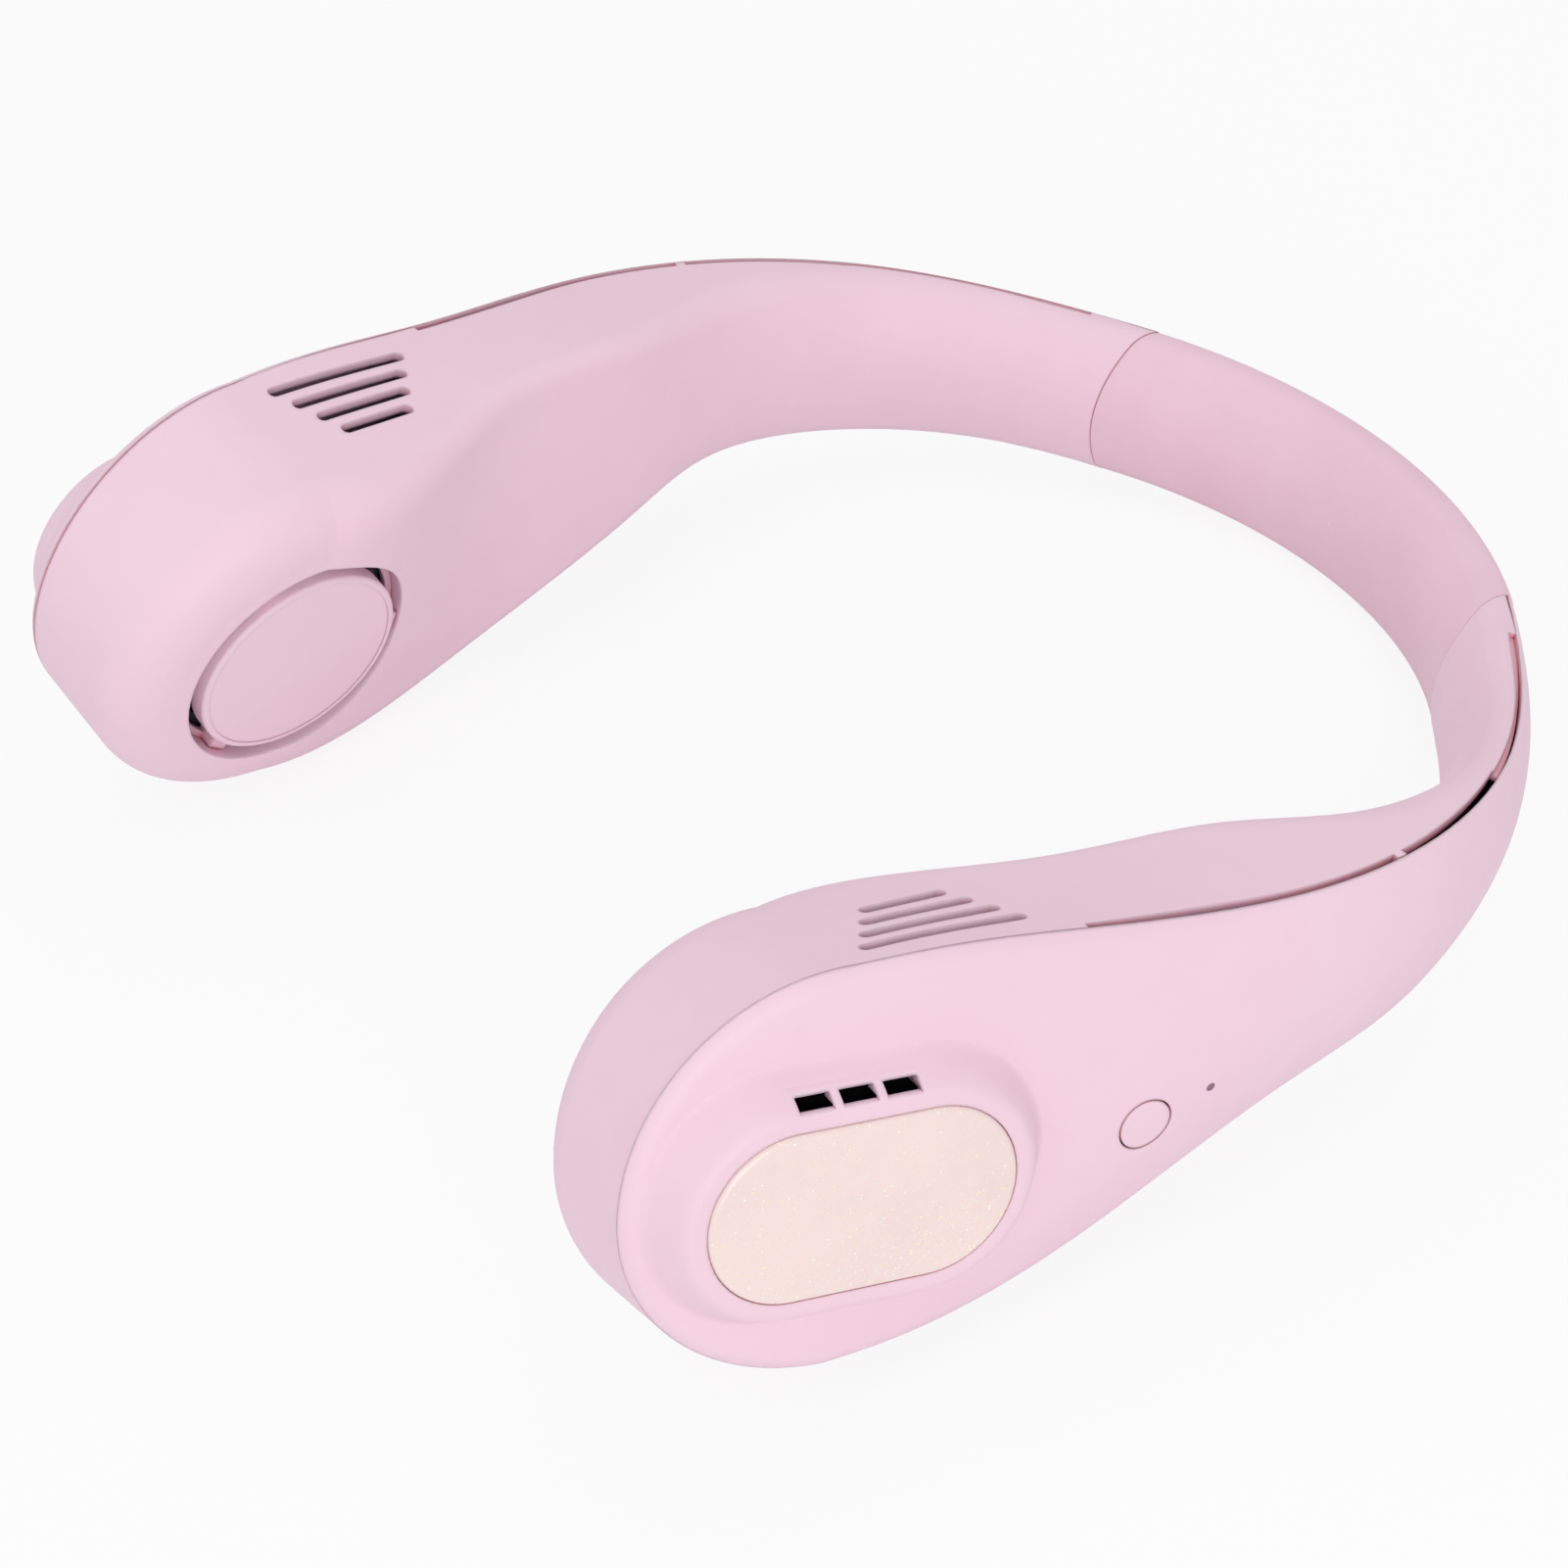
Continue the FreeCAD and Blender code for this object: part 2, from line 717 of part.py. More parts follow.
def pad(body, sketch, name, length, reverse=False):
    """Pad a sketch by a bound length."""
    thing = body.newObject("PartDesign::Pad", name)
    thing.Profile = sketch
    bind(thing, "Length", length)
    thing.Reversed = reverse
    return thing


def turned_body(name, corners, place):
    """Body of revolution about its own Z axis from bound (radius, height) corners."""
    body = doc.addObject("PartDesign::Body", name)
    sketch = outline_sketch(body, "XZ_Plane", f"{name}_profile", corners)
    turn = body.newObject("PartDesign::Revolution", f"{name}_turn")
    turn.Profile = sketch
    turn.ReferenceAxis = (sketch, ["V_Axis"])
    turn.Angle = 360
    body.Placement = place
    return body


def repeat_round(body, thing, name, count):
    """Repeat a feature evenly about the body's Z axis."""
    pattern = body.newObject("PartDesign::PolarPattern", name)
    pattern.Originals = [thing]
    pattern.Axis = (thing.Profile[0], ["N_Axis"])
    pattern.Angle = 360
    pattern.Occurrences = count
    body.Tip = pattern
    return pattern


# Casing


def stadium_wire(offset, height):
    """Round-ended outline round the panel, grown by an offset, at a height over the parting plane."""
    radius = mm("panel_radius") + offset
    reach = mm("panel_straight") / 2
    points = [(reach, radius), (-reach, radius), (-reach - radius, 0), (-reach, -radius), (reach, -radius)]
    points.append((reach + radius, 0))
    spots = [panel_axes.multVec(Vector(x, y, height)) for x, y in points]
    edges = [
        Part.LineSegment(spots[0], spots[1]).toShape(),
        Part.Arc(spots[1], spots[2], spots[3]).toShape(),
        Part.LineSegment(spots[3], spots[4]).toShape(),
        Part.Arc(spots[4], spots[5], spots[0]).toShape(),
    ]
    return Part.Wire(edges)


def outline_point(share, offset):
    """Point at a share of the way round the panel's outline, grown by an offset."""
    radius = mm("panel_radius") + offset
    straight = mm("panel_straight")
    half, way = divmod(share * 2 * (straight + math.pi * radius), straight + math.pi * radius)
    side = 1 - 2 * half
    if way < straight:
        return side * (straight / 2 - way), side * radius
    angle = (way - straight) / radius
    return -side * (straight / 2 + radius * math.sin(angle)), side * radius * math.cos(angle)


def dome_height(along, up):
    """Height of the cover's plain dome over a point of the panel's plane."""
    ray = Part.LineSegment(*(panel_axes.multVec(Vector(along, up, end)) for end in (0, FAR)))
    heights = [mm("parting_gap")]
    for face in cover_form.Faces:
        for spot in ray.intersectCS(face.Surface)[0]:
            point = Vector(spot.X, spot.Y, spot.Z)
            if face.isPartOfDomain(*face.Surface.parameter(point)):
                heights.append(panel_axes.inverse().multVec(point).z)
    return max(heights)


def boss_ring(offset, heights):
    """Closed curve round the boss, grown from the panel's outline by an offset, with its own heights."""
    spots = []
    for index, height in enumerate(heights):
        along, up = outline_point(index / BOSS_POINTS, offset)
        spots.append(panel_axes.multVec(Vector(along, up, height)))
    curve = Part.BSplineCurve()
    curve.interpolate(Points=spots, PeriodicFlag=True)
    return Part.Wire(curve.toShape())


def dome_ring(offset):
    """Heights of the cover's plain dome round the panel's outline, grown by an offset."""
    spots = [outline_point(index / BOSS_POINTS, offset) for index in range(BOSS_POINTS)]
    return [dome_height(along, up) for along, up in spots]


def boss_form(top):
    """Raised boss whose flank flows out of the dome, with a flat top and an underside in the wall."""
    rim, flank_width = mm("boss_rim"), mm("boss_flank")
    feet = [height - mm("boss_sink") for height in dome_ring(rim + flank_width)]
    seats = [height - mm("cover_wall") / 2 for height in dome_ring(rim - OVERLAP)]
    rings = []
    for step in range(BOSS_STEPS + 1):
        share = step / BOSS_STEPS
        heights = [foot + (top - foot) * swell(share) for foot in feet]
        rings.append(boss_ring(rim + flank_width * (1 - share), heights))
    seat = boss_ring(rim - OVERLAP, seats)
    base = boss_ring(rim - OVERLAP, [mm("parting_gap")] * BOSS_POINTS)
    flank = Part.makeLoft(rings, False)
    skirt = Part.makeLoft([base, seat, rings[0]], False, True)
    faces = flank.Faces + skirt.Faces + [Part.Face(rings[-1]), Part.Face(base)]
    return Part.Solid(Part.makeShell(faces))


def boss_hollow(top):
    """Straight-walled hollow under the boss, up to a flat top."""
    normal = panel_axes.Rotation.multVec(Vector(0, 0, 1))
    return Part.Face(stadium_wire(mm("boss_rim"), -OVERLAP / 2)).extrude(normal * (top + OVERLAP / 2))


def vent_lift():
    """Distance of the vents' lower edge from the panel's middle line."""
    return mm("panel_radius+boss_rim+cover_vent_lift-cover_vent_height")


def vent_pocket(top):
    """Hollow behind the vents, out past their upper edge and in under the lip at their lower edge."""
    half = (mm("cover_vent_pitch") * (COVER_VENTS - 1) + mm("cover_vent_width")) / 2
    half += mm("vent_pocket_margin")
    low = (-half - mm("cover_vent_ahead"), mm("panel_radius"), -OVERLAP / 2)
    high = (half - mm("cover_vent_ahead"), vent_lift() + mm("cover_vent_height+vent_pocket_margin"), top)
    lip = mm("vent_lip_width")
    under = block(panel_axes, (low[0], vent_lift() - mm("vent_undercut"), low[2]),
                  (high[0], vent_lift() + lip, pod.bulge + mm("boss_rise-vent_lip")))
    return block(panel_axes, low, high).fuse(under)


def cover_blank():
    """Cover with its boss, panel recess and vents, before any hole for the button and the light."""
    top = pod.bulge + mm("boss_rise")
    floor = top - mm("panel_recess")
    roof = floor - mm("cover_wall")
    hollow = boss_hollow(roof).fuse(vent_pocket(roof - mm("vent_pocket_roof")))
    boss = boss_form(top).cut(hollow)
    normal = panel_axes.Rotation.multVec(Vector(0, 0, 1))
    recess = Part.Face(stadium_wire(mm("panel_gap"), floor)).extrude(normal * FAR)
    wall = arm_wall(cover_outline, pod_axes, mm("cover_wall"), lambda piece: piece.cut(hollow))
    return feature("cover_blank", wall.fuse(boss).cut(recess).common(arm_side))


def cover_vents():
    """Three windows through the boss's upper flank."""
    windows = []
    for index in range(COVER_VENTS):
        along = (index - (COVER_VENTS - 1) / 2) * mm("cover_vent_pitch") - mm("cover_vent_width") / 2
        along -= mm("cover_vent_ahead")
        place = shifted(rest.multiply(panel_axes), along, vent_lift(), 0)
        size = ("cover_vent_width", "cover_vent_height", "half_width")
        windows.append(box(f"cover_vent_{index}", *size, place))
    return windows


def recess_screw_holes():
    """Countersunk holes in the recess floor for the volute's screws."""
    tools = []
    for index, place in enumerate(post_places(recess_floor())):
        hole_place = shifted(place, 0, 0, -FAR / 8)
        tools.append(cylinder(f"post_hole_{index}", "screw_radius+light_gap", "half_width", hole_place))
        head = shifted(place, 0, 0, -mm("screw_head_height"))
        tools.append(cylinder(f"post_sink_{index}", "screw_head_radius+light_gap", "half_width", head))
    return tools


def recess_floor():
    """Height of the panel recess's floor over the parting plane."""
    return pod.bulge + mm("boss_rise-panel_recess")


def post_places(height):
    """Frames of the two volute posts under the panel, at a height over the parting plane."""
    reach = mm("post_spread") / 2
    return [shifted(rest.multiply(panel_axes), side * reach, 0, height) for side in (-1, 1)]


def strip_along(start, end, corners, steps=8):
    """Bar that follows the parting line's top edge, with (outward, up) corners at each section."""
    wires = []
    for step in range(steps + 1):
        section = section_at(start + (end - start) * step / steps)
        wires.append(polyline(section.frame, corners(section)))
    return Part.makeLoft(wires, True)


def outlet_slots():
    """Long outlet beside the parting line: two open lengths parted by a rib, then a shallow groove."""
    width = mm("outlet_width")

    def open_slot(_):
        floor = -mm("shell_wall+shell_wall")
        return [(-width, floor), (OVERLAP, floor), (OVERLAP, OVERLAP), (-width, OVERLAP)]

    def groove(_):
        floor, side = -mm("groove_depth"), -mm("groove_width")
        return [(side, floor), (OVERLAP, floor), (OVERLAP, OVERLAP), (side, OVERLAP)]

    rib, half_rib = mm("outlet_rib"), mm("outlet_rib_width") / 2
    return [
        feature("outlet_front", strip_along(mm("outlet_start"), rib - half_rib, open_slot)),
        feature("outlet_rear", strip_along(rib + half_rib, mm("outlet_end"), open_slot)),
        feature("outlet_groove", strip_along(mm("outlet_end"), mm("groove_end"), groove)),
    ]


def rim_slot(index):
    """One round-ended slot through the rim over the impeller, shorter away from the parting line."""
    body = doc.addObject("PartDesign::Body", f"rim_slot_{index}")
    straight = "-".join(["rim_slot_length"] + ["rim_slot_step"] * index + ["rim_slot_radius"] * 2)
    sketch = stadium_sketch(body, "XZ_Plane", f"rim_slot_{index}_outline", "rim_slot_radius", straight)
    pad(body, sketch, f"rim_slot_{index}_pad", "rim_slot_depth").Midplane = True
    section = section_at(mm("rim_slot_reach"))
    inward = -mm("rim_slot_inset") - index * mm("rim_slot_pitch")
    body.Placement = shifted(rest.multiply(section.shell_frame), 0, 0, inward)
    return body


def intake_cutter():
    """Round intake through the shell's neck side."""
    place = shifted(fan_rest, 0, 0, -mm("pod_depth+intake_run"))
    return cylinder("intake_cutter", "intake_radius", "intake_run+intake_run", place)


def intake_collar():
    """Flat-ended collar round the intake that carries the cap's ring, rooted in the shell's wall."""
    tube = turned_body("collar_tube", [
        ("intake_radius", "-pod_depth"),
        ("intake_radius+cap_ring_width", "-pod_depth"),
        ("intake_radius+cap_ring_width", "-pod_depth+cap_seat"),
        ("intake_radius", "-pod_depth+cap_seat"),
    ], fan_rest)
    bay = feature("collar_bay", arm_form(shell_outline, fan_axes, mm("shell_wall") / 2))
    return common("intake_collar", tube, bay)


def inner_shells():
    """Both neck-side shells; only the right one has the charging socket's mouth."""
    side = neck_side()
    wall = arm_wall(shell_outline, fan_axes, mm("shell_wall"), lambda piece: piece.common(side))
    tools = [intake_cutter()] + outlet_slots() + [rim_slot(index) for index in range(RIM_SLOTS)]
    solid = fuse("shell_solid", [feature("shell_blank", wall.common(arm_side)), intake_collar()])
    vented = cut("shell_vented", solid, fuse("shell_cuts", tools))
    right = cut("right_inner_shell", vented, socket_mouth())
    return right, mirror("left_inner_shell", vented)


def outer_covers():
    """Both outer covers; only the right one has holes for the button and the light."""
    vented = cut("cover_vented", cover_blank(), fuse("cover_cuts", cover_vents() + recess_screw_holes()))
    holes = [
        cylinder("button_hole", "button_radius+button_gap", "half_width", button_place()),
        cylinder("light_hole", "light_radius+light_gap", "half_width", light_place()),
    ]
    right = cut("right_outer_cover", vented, fuse("control_holes", holes))
    return right, mirror("left_outer_cover", vented)


def mirror(name, source):
    """The same piece on the other side of the fan."""
    thing = doc.addObject("Part::Mirroring", name)
    thing.Source = source
    thing.Normal = (1, 0, 0)
    return thing


def decor_panel():
    """Glitter panel: a round-ended plate with a rounded upper edge, seated on the recess floor."""
    body = doc.addObject("PartDesign::Body", "right_decor_panel")
    sketch = stadium_sketch(body, "XY_Plane", "panel_outline", "panel_radius", "panel_straight")
    plate = pad(body, sketch, "panel_plate", "panel_thick")
    doc.recompute()
    faces = enumerate(plate.Shape.Faces, 1)
    top = next(f"Face{index}" for index, face in faces if face.CenterOfMass.z > mm("panel_thick-panel_edge"))
    rounding = body.newObject("PartDesign::Fillet", "panel_rounding")
    rounding.Base = (plate, [top])
    bind(rounding, "Radius", "panel_edge")
    body.Placement = shifted(rest.multiply(panel_axes), 0, 0, recess_floor())
    return body


# Fan and motor


def intake_cap():
    """Dished disc with a skirt, on three spokes from a ring that is bonded to the shell's intake collar."""
    front = "-pod_depth-cap_proud"
    back = "-pod_depth-cap_proud+cap_thick"
    seat = "-pod_depth+cap_seat+bond_gap"
    seat_top = "-pod_depth+cap_seat+bond_gap+cap_ring_thick"
    disc = turned_body("cap_disc", [
        ("", front + "+cap_dish"),
        ("cap_radius-cap_rim", front + "+cap_dish"),
        ("cap_radius-cap_rim", front),
        ("cap_radius-cap_edge", front),
        ("cap_radius", front + "+cap_edge"),
        ("cap_radius", back + "+cap_skirt"),
        ("cap_radius-cap_skirt_wall", back + "+cap_skirt"),
        ("cap_radius-cap_skirt_wall", back),
        ("", back),
    ], fan_rest)
    ring = turned_body("cap_ring", [
        ("intake_radius-cap_ring_lip", seat),
        ("intake_radius+cap_ring_width", seat),
        ("intake_radius+cap_ring_width", seat_top),
        ("intake_radius-cap_ring_lip", seat_top),
    ], fan_rest)
    spokes = []
    for index in range(CAP_SPOKES):
        turn = shifted(fan_rest, 0, 0, mm(back), index * 360 / CAP_SPOKES)
        place = shifted(turn, mm("cap_spoke_inner"), -mm("cap_spoke_width") / 2, 0)
        length = "intake_radius-cap_spoke_inner-fit_gap"
        thick = "cap_seat+bond_gap+cap_ring_thick+cap_proud-cap_thick"
        spokes.append(box(f"cap_spoke_{index}", length, "cap_spoke_width", thick, place))
    holes = [
        cylinder(f"cap_screw_hole_{index}", "motor_screw_radius+light_gap", "motor_screw_length", place)
        for index, place in enumerate(motor_screw_places(-mm("motor_screw_length-mount_thick")))
    ]
    solid = fuse("cap_solid", [disc, ring] + spokes)
    return cut("right_intake_cap", solid, fuse("cap_screw_holes", holes))


def motor_base():
    """Height of the motor mount's underside, on the back of the cap."""
    return -mm("pod_depth+cap_proud-cap_thick")


def motor_screw_places(lift):
    """Frames of the motor screws round the mount, at a height over the mount's underside."""
    places = []
    for index in range(MOTOR_SCREWS):
        turn = shifted(fan_rest, 0, 0, motor_base() + lift, (index + 0.5) * 360 / MOTOR_SCREWS)
        places.append(shifted(turn, mm("motor_screw_circle"), 0, 0))
    return places


MOUNT = "-pod_depth-cap_proud+cap_thick"
MOUNT_TOP = MOUNT + "+mount_thick"
TUBE_TOP = MOUNT_TOP + "+tube_length"
ROTOR_FOOT = MOUNT_TOP + "+rotor_lift"
ROTOR_TOP = ROTOR_FOOT + "+rotor_height"
PLATE_TOP = ROTOR_TOP + "+plate_thick"
IMPELLER = "pod_half+pod_half-pod_upper-shell_wall-fit_gap-volute_wall-impeller_gap"


def motor_mount():
    """Flange on the cap with a tube that carries both bearings."""
    flange = turned_body("mount_solid", [
        ("shaft_radius+fit_gap", MOUNT),
        ("mount_radius", MOUNT),
        ("mount_radius", MOUNT_TOP),
        ("tube_radius", MOUNT_TOP),
        ("tube_radius", TUBE_TOP),
        ("bearing_radius", TUBE_TOP),
        ("bearing_radius", MOUNT_TOP),
        ("shaft_radius+fit_gap", MOUNT_TOP),
    ], fan_rest)
    holes = [
        cylinder(f"mount_screw_hole_{index}", "motor_screw_radius+light_gap", "mount_thick", place)
        for index, place in enumerate(motor_screw_places(0.0))
    ]
    return cut("right_motor_mount", flange, fuse("mount_screw_holes", holes))


def motor_bearings():
    """Two plain bearings, one at each end of the mount's tube."""
    rings = []
    for name, low in (("lower_bearing", MOUNT_TOP), ("upper_bearing", TUBE_TOP + "-bearing_width")):
        high = low + "+bearing_width"
        rings.append(turned_body(name, [
            ("shaft_radius+shaft_gap", low),
            ("bearing_radius", low),
            ("bearing_radius", high),
            ("shaft_radius+shaft_gap", high),
        ], fan_rest))
    return group("right_motor_bearings", rings)


def motor_shaft():
    """Straight shaft from inside the mount to the rotor's roof."""
    low = ROTOR_TOP + "-shaft_length"
    return turned_body("right_motor_shaft", [
        ("", low),
        ("shaft_radius", low),
        ("shaft_radius", ROTOR_TOP),
        ("", ROTOR_TOP),
    ], fan_rest)


def motor_stator():
    """Laminated core round the bearing tube, with nine wound teeth."""
    low = MOUNT_TOP + "+stator_lift"
    high = low + "+stator_height"
    core = turned_body("right_motor_stator", [
        ("tube_radius", low),
        ("tube_radius+stator_core", low),
        ("tube_radius+stator_core", high),
        ("tube_radius", high),
    ], fan_rest)
    sketch = outline_sketch(core, "XZ_Plane", "stator_tooth_outline", [
        ("tube_radius+shaft_radius", low),
        ("stator_radius", low),
        ("stator_radius", high),
        ("tube_radius+shaft_radius", high),
    ])
    tooth = pad(core, sketch, "stator_tooth_pad", "stator_tooth")
    tooth.Midplane = True
    pattern = core.newObject("PartDesign::PolarPattern", "stator_teeth")
    pattern.Originals = [tooth]
    pattern.Axis = (sketch, ["V_Axis"])
    pattern.Angle = 360
    pattern.Occurrences = STATOR_TEETH
    core.Tip = pattern
    return core


def motor_rotor():
    """Bell with its magnet ring, open towards the mount and pressed on the shaft."""
    bore = "stator_radius+air_gap"
    rim = "stator_radius+air_gap+rotor_wall"
    return turned_body("right_motor_rotor", [
        (bore, ROTOR_FOOT),
        (rim, ROTOR_FOOT),
        (rim, ROTOR_TOP),
        ("shaft_radius", ROTOR_TOP),
        ("shaft_radius", ROTOR_TOP + "-rotor_roof"),
        (bore, ROTOR_TOP + "-rotor_roof"),
    ], fan_rest)


def impeller():
    """Centrifugal wheel: hub cup over the rotor, back plate, curved blades and a shroud ring."""
    rim = "stator_radius+air_gap+rotor_wall"
    blade_foot = ROTOR_TOP + "-blade_height"
    wheel = turned_body("right_impeller", [
        (rim, ROTOR_TOP + "-hub_depth"),
        (rim + "+hub_wall", ROTOR_TOP + "-hub_depth"),
        (rim + "+hub_wall", ROTOR_TOP),
        (IMPELLER, ROTOR_TOP),
        (IMPELLER, PLATE_TOP),
        ("", PLATE_TOP),
        ("", ROTOR_TOP),
        (rim, ROTOR_TOP),
    ], fan_rest)
    ring_sketch = outline_sketch(wheel, "XZ_Plane", "shroud_profile", [
        (IMPELLER + "-shroud_width", blade_foot),
        (IMPELLER, blade_foot),
        (IMPELLER, blade_foot + "+shroud_thick"),
        (IMPELLER + "-shroud_width", blade_foot + "+shroud_thick"),
    ])
    sketch = blade_sketch(wheel)
    blade = pad(wheel, sketch, "blade_pad", "blade_height")
    repeat_round(wheel, blade, "blades", BLADES)
    doc.recompute()
    shroud = wheel.newObject("PartDesign::Revolution", "shroud_ring")
    shroud.Profile = ring_sketch
    shroud.ReferenceAxis = (ring_sketch, ["V_Axis"])
    shroud.Angle = 360
    wheel.Tip = shroud
    return wheel


def blade_sketch(wheel):
    """One forward-curved blade, a bent strip from the inner to the outer radius."""
    sketch = blank_sketch(wheel, "XY_Plane", "blade_outline")
    sketch.AttachmentOffset = Placement(Vector(0, 0, mm(ROTOR_TOP + "-blade_height")), Rotation())
    bind(sketch, "AttachmentOffset.Base.z", ROTOR_TOP + "-blade_height")
    inner, outer = mm("blade_inner"), mm(IMPELLER) - mm("blade_thick") / 2
    sweep, half = mm("blade_sweep"), mm("blade_thick") / 2
    middle = (inner + outer) / 2

    def side(shift):
        bow = Vector(middle, shift - sweep / 4, 0)
        return Vector(inner, shift, 0), bow, Vector(outer, shift + sweep / 2, 0)

    near, far = side(-half), side(half)
    sketch.addGeometry(Part.Arc(*near), False)
    sketch.addGeometry(Part.LineSegment(near[2], far[2]), False)
    sketch.addGeometry(Part.Arc(*far), False)
    sketch.addGeometry(Part.LineSegment(far[0], near[0]), False)
    return sketch


def volute():
    """Divider plate behind the impeller with the air guide round its front and two screw posts."""
    rim = "pod_half+pod_half-pod_upper-shell_wall-fit_gap"
    plate_place = shifted(fan_rest, 0, 0, mm(PLATE_TOP + "+volute_gap"))
    bay = feature("volute_bay", arm_form(shell_outline, fan_axes, mm("shell_wall+fit_gap")))
    plate = common("volute_plate", cylinder("volute_disc", rim, "volute_wall", plate_place), bay)
    guide_place = shifted(plate_place, 0, 0, -mm("volute_depth"), mm("volute_start"))
    outer = cylinder("guide_outer", rim, "volute_depth", guide_place, "volute_span")
    inner = cylinder("guide_inner", rim + "-volute_wall", "volute_depth", guide_place)
    guide = cut("volute_guide", outer, inner)
    top = recess_floor() - mm("cover_wall+fit_gap")
    axis = fan_rest.Rotation.multVec(Vector(0, 0, 1))
    middle = shifted(plate_place, 0, 0, mm("volute_wall") / 2).Base
    posts = []
    bores = []
    for index, place in enumerate(post_places(0.0)):
        post_axis = place.Rotation.multVec(Vector(0, 0, 1))
        foot = (middle - place.Base).dot(axis) / post_axis.dot(axis)
        post = doc.addObject("Part::Cylinder", f"post_{index}")
        bind(post, "Radius", "post_radius")
        post.Height = top - foot
        post.Placement = shifted(place, 0, 0, foot)
        posts.append(post)
        bore_place = shifted(place, 0, 0, recess_floor() - mm("screw_length+fit_gap"))
        bores.append(cylinder(f"post_bore_{index}", "screw_radius", "half_width", bore_place))
    return cut("right_volute", fuse("volute_solid", [plate, guide] + posts), fuse("post_bores", bores))


def countersunk_screw(name, place, size):
    """Flat-headed screw whose head's top is at the frame's origin and whose shank runs down."""
    head, height, radius, length = size
    return turned_body(name, [
        ("", ""),
        (head, ""),
        (head, f"-{height}"),
        (radius, f"-{height}"),
        (radius, f"-{length}"),
        ("", f"-{length}"),
    ], place)


def volute_screws():
    """Two screws that hold the volute to the cover, under the panel."""
    size = ("screw_head_radius", "screw_head_height", "screw_radius", "screw_length")
    places = post_places(recess_floor())
    return group("right_volute_screws", [
        countersunk_screw(f"volute_screw_{index}", place, size) for index, place in enumerate(places)
    ])


def motor_screws():
    """Three screws that hold the motor mount to the cap."""
    size = [f"motor_screw_{part}" for part in ("head_radius", "head_height", "radius", "length")]
    places = motor_screw_places(mm("mount_thick+motor_screw_head_height"))
    return group("right_motor_screws", [
        countersunk_screw(f"motor_screw_{index}", place, size) for index, place in enumerate(places)
    ])


# Arm contents


def duct_floor():
    """Thin floor that parts the air duct under the rim from the battery bay."""
    def corners(section):
        low, high = -mm("duct_height+floor_thick"), -mm("duct_height")
        inner = -section.depth
        outer = mm("cover_edge_rise-cover_wall")
        return [(inner, low), (outer, low), (outer, high), (inner, high)]

    strip = strip_along(mm("floor_start"), mm("floor_end"), corners)
    bay = arm_form(shell_outline, fan_axes, mm("shell_wall+fit_gap"))
    return feature("right_duct_floor", strip.common(bay))


def battery():
    """Flat cell against the neck side of the bay, with bevelled long edges."""
    far_end = section_at(mm("battery_start+battery_length"))
    top = -mm("duct_height+floor_thick+battery_gap")
    foot = mm("shell_wall+battery_gap") - far_end.height
    back = mm("shell_wall+battery_gap") - min(far_end.depth, mm("jaw_depth"))
    front = back + mm("battery_thick")
    edge = mm("battery_edge")
    reach = mm("battery_length") / 2
    corners = [
        (back + edge, foot), (front - edge, foot), (front, foot + edge), (front, top - edge),
        (front - edge, top), (back + edge, top), (back, top - edge), (back, foot + edge),
    ]
    frame = section_at(mm("battery_start+battery_length") - reach).frame
    wire = polyline(frame.multiply(Placement(Vector(-reach, 0, 0), Rotation())), corners)
    along = frame.Rotation.multVec(Vector(2 * reach, 0, 0))
    return feature("right_battery", Part.Face(wire).extrude(along))


def board_frame(place):
    """Frame at a place along the arm with the main board's lean, so that the controls stand square on it."""
    return rest.multiply(axes_at(mm(place), section_at(mm("board_place")).lean))


def main_board():
    """Circuit board behind the button."""
    place = board_frame("board_place")
    place = shifted(place, -mm("board_length") / 2, -mm("board_top+board_height"), -mm("board_depth"))
    return box("main_board", "board_length", "board_height", "board_thick", place)


def button_place(height=0.0):
    """Frame of the button's axis, at a height over the parting plane."""
    return shifted(board_frame("button_place"), 0, -mm("button_drop"), height)


def light_place(height=0.0):
    """Frame of the light pipe's axis, at a height over the parting plane."""
    return shifted(board_frame("light_place"), 0, -mm("light_drop"), height)


def button_switch():
    """Push switch on the board under the button."""
    face = mm("board_thick-board_depth")
    half = mm("switch_size") / 2
    base_place = shifted(button_place(face), -half, -half, 0)
    base = box("switch_base", "switch_size", "switch_size", "switch_height", base_place)
    plunger_place = button_place(face + mm("switch_height"))
    plunger = cylinder("switch_plunger", "plunger_radius", "plunger_height", plunger_place)
    return fuse("button_switch", [base, plunger])


def power_button():
    """Round button, flush with the cover, with a flange that keeps it in its hole."""
    foot = mm("board_thick-board_depth+switch_height+plunger_height+button_travel+light_gap")
    stem = cylinder("button_stem", "button_radius", "half_width", button_place(foot))
    top = common("button_top", stem, feature("button_trim", cover_form))
    flange_radius = "button_radius+button_flange"
    flange = cylinder("button_flange_disc", flange_radius, "flange_thick", button_place(foot))
    return fuse("power_button", [top, flange])


def status_led():
    """Light pipe from the board to the cover's face."""
    foot = mm("board_thick-board_depth")
    stem = cylinder("light_stem", "light_radius", "half_width", light_place(foot))
    top = common("light_top", stem, feature("light_trim", cover_form))
    tail = cylinder("light_tail", "light_radius", "board_depth", light_place(foot))
    return fuse("status_led", [top, tail])


def socket_frame():
    """Frame of the charging socket: its mouth looks down through the arm's underside."""
    section = section_at(mm("socket_place"))
    height = mm("socket_recess") - section.height
    return shifted(rest.multiply(section.frame), 0, height, -mm("socket_depth"))


def socket_mouth():
    """Opening in the right shell's underside for the charging plug."""
    half = mm("socket_width") / 2 + mm("fit_gap")
    place = shifted(socket_frame(), -half, -mm("socket_length"), -mm("fit_gap"))
    return box("socket_mouth", "socket_width+fit_gap+fit_gap", "socket_length+socket_length",
               "socket_thick+fit_gap+fit_gap", place)


